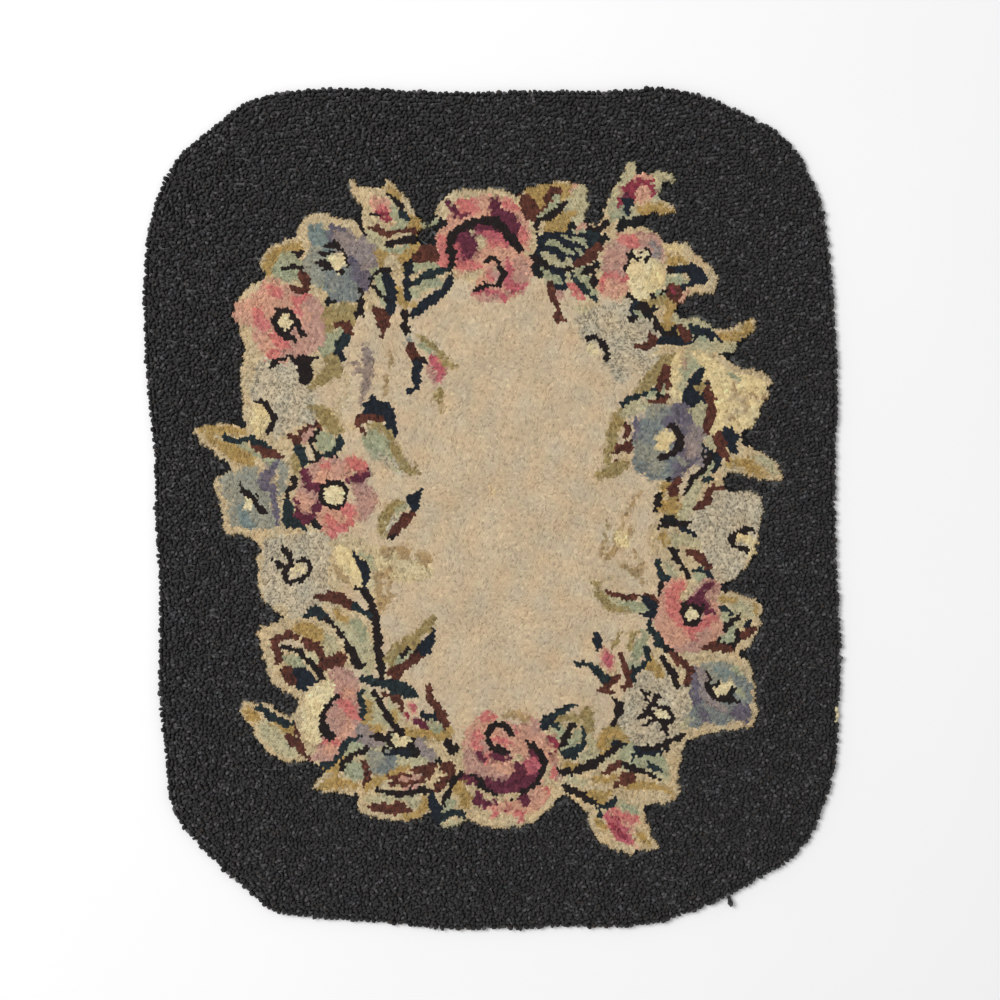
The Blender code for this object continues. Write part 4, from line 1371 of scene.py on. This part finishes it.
def bake_corner(corner, face):
    """Where a corner of the loop's shape lies in its own cell of the baking layout."""
    point = corner.vert.co
    if all(vertex.co.z == 0.0 for vertex in face.verts):
        return 0.90 + 0.05 * point.x, 0.10 + 0.05 * point.y
    return 0.46 + 0.40 * point.x, 0.52 + 0.40 * point.y


def loop_cells(x, y, cell_uv):
    """The baking layout of joined loops: one small cell for each, in the order of the rows."""
    columns = math.ceil(math.sqrt(x.size))
    by_height = np.argsort(y, kind="stable")
    cell = np.empty((x.size, 2))
    for row in range(math.ceil(x.size / columns)):
        members = by_height[row * columns:(row + 1) * columns]
        members = members[np.argsort(x[members], kind="stable")]
        cell[members, 0] = np.arange(len(members))
        cell[members, 1] = row
    return (cell[:, None, :] + cell_uv[None, :, :]) / columns


def joined_loops(name, loops):
    """One mesh of many loops, made by repeating the loop's shape at each place."""
    shape = loop_shape()
    shape.verts.index_update()
    unit = np.array([point.co[:] for point in shape.verts])
    corners = np.array([corner.vert.index for face in shape.faces for corner in face.loops])
    sides = np.array([len(face.verts) for face in shape.faces])
    cell_uv = np.array([bake_corner(corner, face) for face in shape.faces for corner in face.loops])
    shape.free()
    count, points = loops["x"].size, len(unit)
    grow = rng.normal(1.0, 0.07, count).clip(0.82, 1.18)
    along = unit[:, 0] * (loops["length"] / 2 * grow)[:, None]
    across = unit[:, 1] * (loops["width"] / 2 * grow)[:, None]
    share = np.where(unit[:, 2] == SHOULDER[1], loops["shoulder"][:, None], unit[:, 2])
    rise = share * (loops["top"] - BURLAP_TOP)[:, None]
    cos, sin = np.cos(loops["heading"])[:, None], np.sin(loops["heading"])[:, None]
    places = np.empty((count, points, 3))
    places[:, :, 0] = loops["x"][:, None] + along * cos - across * sin + rise * loops["lean_x"][:, None]
    places[:, :, 1] = loops["y"][:, None] + along * sin + across * cos + rise * loops["lean_y"][:, None]
    places[:, :, 2] = BURLAP_TOP - 0.0001 + rise
    mesh = bpy.data.meshes.new(name)
    mesh.vertices.add(count * points)
    mesh.vertices.foreach_set("co", places.ravel())
    mesh.loops.add(count * len(corners))
    starts = np.arange(count)[:, None]
    mesh.loops.foreach_set("vertex_index", (corners + starts * points).ravel())
    mesh.polygons.add(count * len(sides))
    first = np.concatenate([[0], np.cumsum(sides)[:-1]])
    mesh.polygons.foreach_set("loop_start", (first + starts * len(corners)).ravel())
    mesh.polygons.foreach_set("use_smooth", np.ones(count * len(sides), bool))
    mesh.update(calc_edges=True)
    paint = mesh.color_attributes.new("yarn", "FLOAT_COLOR", "POINT")
    shades = np.ones((count, points, 4))
    shades[:, :, :3] = loops["colour"][:, None, :]
    paint.data.foreach_set("color", shades.ravel())
    strands = np.empty((count, points, 3))
    strands[:, :, :2] = unit[None, :, :2]
    strands[:, :, 2] = rng.uniform(0.0, 1.0, count)[:, None]
    twist = mesh.attributes.new("twist", "FLOAT_VECTOR", "POINT")
    twist.data.foreach_set("vector", strands.ravel())
    layout = mesh.uv_layers.new(name="OFBake")
    layout.data.foreach_set("uv", loop_cells(loops["x"], loops["y"], cell_uv).ravel())
    return add_object(name, mesh)


def hooked_yarns(x, y):
    """The yarn at each place of the pattern."""
    pattern = Pattern(x / MM, y / MM)
    draw_wreath(pattern)
    return pattern.yarn


def cell_grid():
    """The grid of six-sided cells: the places of its corners, and the six corners of each cell, row by row."""
    across = 2 * math.ceil(CELL_REACH[0] / CELL_LENGTH)
    rows = 2 * math.ceil(CELL_REACH[1] / CELL_WIDTH)
    line, station = np.mgrid[0:rows + 1, 0:2 * across + 2]
    zigzag = np.where((line + station) % 2 == 0, 1.0, -1.0) / 6.0
    x = ((station - across - 0.5) * CELL_LENGTH / 2).ravel()
    y = ((line - rows / 2 + zigzag) * CELL_WIDTH).ravel()
    places = np.column_stack([swayed(x, x, y, CELL_SWAY_X), swayed(y, x, y, CELL_SWAY_Y)])
    places += rng.normal(0.0, ROUGH_CORNER, places.shape).clip(-2.2 * ROUGH_CORNER, 2.2 * ROUGH_CORNER)
    row, column = np.mgrid[0:rows, 0:across]
    near = row * (2 * across + 2) + 2 * column + row % 2
    far = near + 2 * across + 2
    return places, np.stack([near, near + 1, near + 2, far + 2, far + 1, far], axis=-1)


def spread(mask, steps):
    """A mask on the grid, grown by a number of cells each way."""
    for _ in range(steps):
        grown = mask.copy()
        grown[1:] |= mask[:-1]
        grown[:-1] |= mask[1:]
        grown[:, 1:] |= mask[:, :-1]
        grown[:, :-1] |= mask[:, 1:]
        mask = grown
    return mask


def closed(mask, steps):
    """A mask of cells with its gaps and notches filled, where they are narrower than twice as many cells."""
    return ~spread(~spread(mask, steps), steps)


def pile_cells():
    """The cells of the wreath, its pockets of ground and the middle, as named columns, with their corners."""
    places, corners = cell_grid()
    centres = places[corners].mean(axis=2)
    yarn = hooked_yarns(centres[..., 0].ravel(), centres[..., 1].ravel()).reshape(corners.shape[:2])
    hooked = yarn != YARN_NAMES.index("charcoal")
    kept = closed(hooked, POCKET_CELLS)
    sliver = closed(hooked, SLIVER_CELLS) & ~hooked
    light = hooked & ~np.isin(np.array(YARN_NAMES)[yarn], DARK_YARNS)
    nearest = KDTree(int(light.sum()))
    for index, place in enumerate(centres[light]):
        nearest.insert((*place, 0.0), index)
    nearest.balance()
    yarn = np.where(hooked, yarn, YARN_NAMES.index("pocket"))
    yarn[sliver] = yarn[light][[nearest.find((*place, 0.0))[1] for place in centres[sliver]]]
    corners, yarn = corners[kept], yarn[kept]
    x, y = centres[kept].T
    names = np.array(YARN_NAMES)[yarn]
    kind = np.full(x.size, "wreath")
    kind[np.isin(names, DARK_YARNS)] = "dark"
    kind[names == "cream"] = "field"
    kind[names == "oat"] = "tweed"
    looks = {column: np.array([getattr(CELL_KINDS[name], column) for name in kind]) for column in CellKind._fields}
    crown = pile_top(x, y) - rng.uniform(0.0, 1.0, x.size) ** 1.5 * looks["drop"] * MM
    touching = np.bincount(corners.ravel(), minlength=len(places))
    shared = {"x": x, "y": y, "crown": crown, **looks}
    around = {}
    for column, values in shared.items():
        total = np.bincount(corners.ravel(), weights=np.repeat(values, 6), minlength=len(places))
        around[column] = total / np.maximum(touching, 1)
    pit = rng.uniform(0.0, 1.0, len(places)) < around["pits"]
    depth = around["groove"] * rng.uniform(0.7, 1.3, len(places)) + np.where(pit, 0.7, 0.0)
    height = around["crown"] - depth * MM
    # Painted shade at each corner of a cell: a little darker in the grooves between loops, much darker in the open
    # pits.
    shade = np.where(pit, around["pit_shade"], 0.95) * rng.uniform(0.95, 1.03, len(places))
    border = (touching > 0) & (touching < 3)
    out = places - np.column_stack([around["x"], around["y"]])
    out /= np.maximum(np.hypot(*out.T), 1e-9)[:, None]
    places[border] += CELL_SPREAD * out[border]
    height[border] = BURLAP_TOP
    # Painted shade on the wreath's outer corners, where the cells drop down to the burlap beside the ground.
    shade[border] = 0.70
    beside = hooked_yarns(x + rng.normal(0.0, MINGLE_MM * MM, x.size), y + rng.normal(0.0, MINGLE_MM * MM, x.size))
    crisp = np.isin(names, DARK_YARNS) | np.isin(np.array(YARN_NAMES)[beside], ("charcoal", *DARK_YARNS))
    beside = np.where(crisp, yarn, beside)
    colour = (dye(yarn, x, y) + dye(beside, x, y)) / 2
    colour = (colour * rng.normal(1.0, looks["grain"])[:, None] / looks["light"][:, None]).clip(0.0, BRIGHTEST)
    cells = {"x": x, "y": y, "kind": kind, "crown": crown, "colour": colour, "corners": corners}
    return cells, {"places": places, "height": height, "shade": shade}


def joined_cells(name, cells, ends):
    """One mesh of many cells: each rises from its corners to its crown, and is parted from the next by a groove."""
    used, corners = np.unique(cells["corners"], return_inverse=True)
    corners = corners.reshape(-1, 6)
    count = len(corners)
    middle = ends["places"][used][corners].mean(axis=1) + rng.normal(0.0, 0.00018, (count, 2))
    crowns = np.column_stack([middle, cells["crown"]])
    points = np.vstack([np.column_stack([ends["places"][used], ends["height"][used]]), crowns])
    tips = np.repeat(np.arange(count)[:, None] + len(used), 6, axis=1)
    triangles = np.stack([corners, np.roll(corners, -1, axis=1), tips], axis=-1)
    mesh = bpy.data.meshes.new(name)
    mesh.vertices.add(len(points))
    mesh.vertices.foreach_set("co", points.ravel())
    mesh.loops.add(triangles.size)
    mesh.loops.foreach_set("vertex_index", triangles.ravel())
    mesh.polygons.add(6 * count)
    mesh.polygons.foreach_set("loop_start", np.arange(0, triangles.size, 3))
    mesh.polygons.foreach_set("use_smooth", np.ones(6 * count, bool))
    mesh.update(calc_edges=True)
    ends_of_edges = np.empty(2 * len(mesh.edges), int)
    mesh.edges.foreach_get("vertices", ends_of_edges)
    mesh.edges.foreach_set("use_edge_sharp", (ends_of_edges.reshape(-1, 2) < len(used)).all(axis=1))
    # The corners' painted shade darkens each cell towards its groove; the crown keeps the yarn's full colour.
    shade = np.concatenate([ends["shade"][used], np.ones(count)])[triangles]
    shades = np.ones((*triangles.shape, 4))
    shades[..., :3] = shade[..., None] * cells["colour"][:, None, None, :]
    paint = mesh.color_attributes.new("yarn", "FLOAT_COLOR", "CORNER")
    paint.data.foreach_set("color", shades.ravel())
    strands = np.zeros((*triangles.shape, 3))
    strands[..., :2] = (points[triangles][..., :2] - middle[:, None, None, :]) / (CELL_LENGTH / 2)
    strands[..., 2] = rng.uniform(0.0, 1.0, count)[:, None, None]
    twist = mesh.attributes.new("twist", "FLOAT_VECTOR", "CORNER")
    twist.data.foreach_set("vector", strands.ravel())
    level = points[:, :2]
    flat = (level - level.min(axis=0)) / (level.max(axis=0) - level.min(axis=0))
    layout = mesh.uv_layers.new(name="OFBake")
    layout.data.foreach_set("uv", (0.002 + 0.996 * flat[triangles]).ravel())
    return add_object(name, mesh)


class Link:
    """A shader socket on which Python's operators add Math nodes."""

    def __init__(self, finish, socket):
        self.finish = finish
        self.socket = socket

    def math(self, operation, first, second):
        return self.finish.node("ShaderNodeMath", {"operation": operation}, {0: first, 1: second})

    def __add__(self, other):
        return self.math("ADD", self, other)

    __radd__ = __add__

    def __mul__(self, other):
        return self.math("MULTIPLY", self, other)

    __rmul__ = __mul__


class Finish:
    """A material being made from shader nodes."""

    def __init__(self, name):
        self.material = bpy.data.materials.new(name)
        self.material.use_nodes = True
        self.tree = self.material.node_tree
        self.tree.nodes.clear()

    def node(self, kind, settings, sockets, out=0):
        made = self.tree.nodes.new(kind)
        for key, value in settings.items():
            setattr(made, key, value)
        for key, value in sockets.items():
            socket = made.inputs[key]
            if isinstance(value, Link):
                self.tree.links.new(value.socket, socket)
            else:
                socket.default_value = value
        if isinstance(out, str):
            return Link(self, next(socket for socket in made.outputs if socket.identifier == out))
        return Link(self, made.outputs[out]) if made.outputs else None

    def place(self):
        return self.node("ShaderNodeTexCoord", {}, {}, "Object")

    def attribute(self, name, out):
        return self.node("ShaderNodeAttribute", {"attribute_name": name}, {}, out)

    def noise(self, place, scale, detail=2.0, roughness=0.5):
        sockets = {"Vector": place, "Scale": scale, "Detail": detail, "Roughness": roughness}
        return self.node("ShaderNodeTexNoise", {}, sockets, "Fac")

    def bands(self, place, direction, scale, distortion=0.0):
        settings = {"wave_type": "BANDS", "bands_direction": direction}
        sockets = {"Vector": place, "Scale": scale, "Distortion": distortion, "Detail": 1.0}
        return self.node("ShaderNodeTexWave", settings, sockets, "Fac")

    def depth(self, place, axis):
        return self.node("ShaderNodeSeparateXYZ", {}, {0: place}, axis)

    def shade(self, colour, amount):
        """The colour times a number that changes over the surface."""
        return self.node("ShaderNodeVectorMath", {"operation": "SCALE"}, {0: colour, "Scale": amount})

    def blend(self, share, first, second):
        """A mix of two colours. A Mix node keeps its colours in sockets 6 and 7, and their mix in output 2."""
        return self.node("ShaderNodeMix", {"data_type": "RGBA"}, {0: share, 6: first, 7: second}, 2)

    def clamp(self, value, low, high, to_low, to_high):
        sockets = {"Value": value, 1: low, 2: high, 3: to_low, 4: to_high}
        return self.node("ShaderNodeMapRange", {"clamp": True}, sockets)

    def surface(self, colour, roughness, height, bump_mm, sockets):
        bump = self.node("ShaderNodeBump", {}, {"Height": height, "Distance": bump_mm * MM})
        values = {"Base Color": colour, "Roughness": roughness, "Normal": bump, **sockets}
        shader = self.node("ShaderNodeBsdfPrincipled", {}, values)
        self.node("ShaderNodeOutputMaterial", {}, {"Surface": shader})
        return self.material


def wool(name, painted_foot_shade_and_grime, low_rough, grain_depth, sheen):
    """Dyed wool: each loop its own shade, darker at its foot with painted shade and grime, with plied strands and fine
    fibres across it.
    """
    finish = Finish(name)
    place = finish.place()
    yarn = finish.attribute("yarn", "Color")
    strand = finish.bands(finish.attribute("twist", "Vector"), "DIAGONAL", 0.9, 1.2)
    fibre = finish.noise(place, 1900.0, 3.0, 0.65)
    tuft = finish.noise(place, 520.0)
    # Painted shade and grime: the colour darkens towards each loop's foot, down between the loops.
    foot = finish.clamp(finish.depth(place, "Z"), 0.0034, 0.0066, painted_foot_shade_and_grime, 1.0)
    grain = finish.clamp(fibre, 0.25, 0.75, 1.0 - grain_depth, 1.0 + grain_depth)
    ply = finish.clamp(strand, 0.0, 1.0, 1.0 - grain_depth * 0.7, 1.0 + grain_depth * 0.3)
    colour = finish.shade(yarn, foot * grain * ply)
    roughness = finish.clamp(fibre, 0.3, 0.7, low_rough, low_rough + 0.18)
    height = fibre * 0.5 + tuft + strand * 0.6
    return finish.surface(colour, roughness, height, 0.5, {"Sheen Weight": sheen, "Specular IOR Level": WOOL_GLOSS})


def burlap():
    """Burlap seen from below: plain in the hem, with the flat backs of the hooked rows inside it. Its upper side under
    the pile is painted dark as shade.
    """
    finish = Finish("burlap_weave")
    place = finish.place()
    yarn = finish.attribute("yarn", "Color")
    warp = finish.bands(place, "X", 230.0, 0.6)
    weft = finish.bands(place, "Y", 230.0, 0.6)
    slub = finish.noise(place, 160.0)
    fibre = finish.noise(place, 1500.0, 3.0, 0.6)
    weave = warp * 0.5 + weft * 0.5
    worn = finish.clamp(slub, 0.3, 0.7, 0.82, 1.12)
    lit = finish.clamp(weave, 0.0, 1.0, 0.62, 1.10)
    # Painted shade: the burlap's upper side, seen only in gaps between the loops, is darkened nearly to black.
    painted_shade_under_pile = finish.clamp(finish.depth(place, "Z"), 0.0008, 0.0012, 1.0, 0.10)
    colour = finish.shade(yarn, worn * lit * painted_shade_under_pile)
    height = weave + fibre * 0.35
    return finish.surface(colour, 0.9, height, 0.35, {})


def thread_finish():
    finish = Finish("tan_thread")
    place = finish.place()
    fibre = finish.noise(place, 2600.0, 3.0, 0.6)
    soil = finish.noise(place, 40.0)
    colour = finish.blend(soil, *THREAD_TINTS)
    return finish.surface(finish.shade(colour, 0.8 + 0.4 * fibre), 0.8, fibre, 0.2, {})


def ground_loops(cells):
    """Every loop of the dark ground outside the wreath, as named columns."""
    table = np.vstack([rim_loops(), LOOSE_END, level_loops(np.column_stack([cells["x"], cells["y"]]))])
    x, y, heading, lean_x, lean_y, row = table.T
    kind = np.where(row == 0, "rim", "ground")
    loops = {"x": x, "y": y, "kind": kind}
    for column in LoopKind._fields:
        loops[column] = np.array([getattr(LOOP_KINDS[name], column) for name in kind])
    loops["length"] = loops["length"] * MM
    loops["width"] = loops["width"] * MM
    loops["heading"] = heading + rng.normal(0.0, 1.0, x.size) * loops["turn"]
    loops["lean_x"] = lean_x + rng.normal(0.0, 1.0, x.size) * loops["lean"]
    loops["lean_y"] = lean_y + rng.normal(0.0, 1.0, x.size) * loops["lean"]
    loops["top"] = pile_top(x, y) - rng.uniform(0.0, 1.0, x.size) ** 1.5 * loops["drop"] * MM
    worn = (row == 0) & (x > 0.0) & (np.abs(y - WORN_EDGE[0]) < WORN_EDGE[1])
    yarn = np.where(worn, YARN_NAMES.index("ivory"), YARN_NAMES.index("charcoal"))
    loops["colour"] = (dye(yarn, x, y) / loops["light"][:, None]).clip(0.0, BRIGHTEST)
    return loops


def members(columns, chosen):
    return {column: values[chosen] for column, values in columns.items()}


def pile_pieces():
    cells, ends = pile_cells()
    loops = ground_loops(cells)
    dark_wool = wool("charcoal_wool", painted_foot_shade_and_grime=0.55, low_rough=0.58, grain_depth=0.26, sheen=0.06)
    cream_wool = wool("cream_wool", painted_foot_shade_and_grime=0.92, low_rough=0.80, grain_depth=0.10, sheen=0.12)
    dyed_wool = wool("wreath_wool", painted_foot_shade_and_grime=0.78, low_rough=0.80, grain_depth=0.18, sheen=0.03)
    left, high = loops["x"] < 0.0, loops["y"] >= 0.0
    made = []
    quarters = {
        "top_left": left & high, "top_right": ~left & high,
        "foot_left": left & ~high, "foot_right": ~left & ~high,
    }
    for name, chosen in quarters.items():
        made.append(joined_loops("ground_" + name, members(loops, chosen)))
        made[-1].data.materials.append(dark_wool)
    field, left = cells["kind"] == "field", cells["x"] < 0.0
    shares = {"cream_middle": field, "wreath_left": ~field & left, "wreath_right": ~field & ~left}
    for name, chosen in shares.items():
        made.append(joined_cells(name, members(cells, chosen), ends))
        made[-1].data.materials.append(cream_wool if name == "cream_middle" else dyed_wool)
    return made


def foundation():
    """The burlap: square cells below, stepped down where the hem is turned under, and one face under the pile."""
    ring = EDGE - outward(EDGE) * BURLAP_INSET
    half_width, half_length = CAD_BOX[1][0], CAD_BOX[1][1]
    across = 2 * round(half_width / BACK_CELL) + 2
    along = 2 * round(half_length / BACK_CELL) + 2
    shape = bmesh.new()
    bmesh.ops.create_grid(shape, x_segments=across, y_segments=along, size=0.5)
    bmesh.ops.scale(shape, vec=(across * BACK_CELL, along * BACK_CELL, 1.0), verts=shape.verts)
    places = np.array([point.co[:2] for point in shape.verts])
    inside = distance_inside(ring, places[:, 0], places[:, 1])
    spare = [point for point, room in zip(shape.verts[:], inside) if room < 0.35 * BACK_CELL]
    bmesh.ops.delete(shape, geom=spare, context="VERTS")
    border = [edge for edge in shape.edges if edge.is_boundary]
    closed_ring = even_steps(ring, EDGE_STEP)
    for point in {point for edge in border for point in edge.verts}:
        gaps = np.hypot(closed_ring[:, 0] - point.co.x, closed_ring[:, 1] - point.co.y)
        point.co.x, point.co.y = closed_ring[gaps.argmin()]
    places = np.array([point.co[:2] for point in shape.verts])
    inside = distance_inside(ring, places[:, 0], places[:, 1])
    for point, room in zip(shape.verts, inside):
        point.co.z = HEM_STEP if room > HEM_WIDTH else 0.0
    paint = shape.loops.layers.float_color.new("yarn")
    cells = np.array([face.calc_center_median()[:2] for face in shape.faces])
    backs = dye(hooked_yarns(cells[:, 0], cells[:, 1]), cells[:, 0], cells[:, 1])
    room = distance_inside(ring, cells[:, 0], cells[:, 1])
    bare = (room < HEM_WIDTH + BACK_CELL) | (rng.uniform(0.0, 1.0, room.size) < BARE_SHARE)
    backs[bare] = np.array(BURLAP_TAN) * rng.uniform(*BURLAP_FADE, (bare.sum(), 1))
    for face, colour in zip(shape.faces, backs):
        for corner in face.loops:
            corner[paint] = (*colour, 1.0)
    border = [edge for edge in shape.edges if edge.is_boundary]
    grown = bmesh.ops.extrude_edge_only(shape, edges=border)["geom"]
    rim = [item for item in grown if isinstance(item, bmesh.types.BMVert)]
    for point in rim:
        point.co.z = BURLAP_TOP
    top = [edge for edge in shape.edges if edge.is_boundary]
    bmesh.ops.edgeloop_fill(shape, edges=top)
    bmesh.ops.recalc_face_normals(shape, faces=shape.faces[:])
    mesh = bpy.data.meshes.new("burlap_foundation")
    shape.to_mesh(mesh)
    shape.free()
    mesh.materials.append(burlap())
    return add_object("burlap_foundation", mesh)


def hem_stitches():
    """Slanted whip stitches of tan thread over the hem's inner edge."""
    ring = even_steps(EDGE - outward(EDGE) * (BURLAP_INSET + HEM_WIDTH), STITCH_STEP)
    way = outward(ring)
    shape = bmesh.new()
    for (x, y), (out_x, out_y) in zip(ring, way):
        bmesh.ops.create_icosphere(shape, subdivisions=1, radius=1.0)
        points = shape.verts[-12:]
        turn = math.atan2(out_y, out_x) + STITCH_SLANT + rng.normal(0.0, STITCH_ROUGH)
        for point in points:
            along = point.co.x * STITCH_LENGTH / 2
            across = point.co.y * STITCH_WIDTH / 2
            level = STITCH_LEVEL + STITCH_RISE * point.co.z
            point.co = (x + along * math.cos(turn) - across * math.sin(turn),
                        y + along * math.sin(turn) + across * math.cos(turn), level)
    mesh = bpy.data.meshes.new("hem_stitches")
    shape.to_mesh(mesh)
    shape.free()
    mesh.materials.append(thread_finish())
    mesh.shade_smooth()
    return add_object("hem_stitches", mesh)


def floor():
    finish = Finish("pale_floor")
    grain = finish.noise(finish.place(), 3.0)
    colour = finish.blend(grain, *FLOOR_TINTS)
    material = finish.surface(colour, 0.9, grain, 0.1, {})
    bpy.ops.mesh.primitive_plane_add(size=FLOOR_SIZE, location=(0.0, 0.0, FLOOR_LEVEL))
    ground = bpy.context.object
    ground.name = "floor"
    ground.data.materials.append(material)


def lamp(name, place, size, power):
    light = bpy.data.lights.new(name, "AREA")
    light.shape = "DISK"
    light.size = size
    light.energy = power
    holder = add_object(name, light)
    holder.location = place
    holder.rotation_euler = (-Vector(place)).to_track_quat("-Z", "Y").to_euler()


def studio():
    lamp("key_light", LAMP_PLACE, LAMP_SIZE, LAMP_POWER)
    world = bpy.data.worlds.new("studio")
    world.use_nodes = True
    background = world.node_tree.nodes["Background"]
    background.inputs["Color"].default_value = ROOM_TINT
    background.inputs["Strength"].default_value = ROOM_LIGHT
    bpy.context.scene.world = world
    bpy.context.scene.view_settings.view_transform = "Standard"


pile = pile_pieces()
burlap_sheet = foundation()
stitches = hem_stitches()
for piece in pile + [burlap_sheet, stitches]:
    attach(piece, "root")
    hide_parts("rug")
edge_next = np.roll(EDGE, -1, axis=0)
cut_area = abs((EDGE[:, 0] * edge_next[:, 1] - EDGE[:, 1] * edge_next[:, 0]).sum()) / 2
floor()
studio()
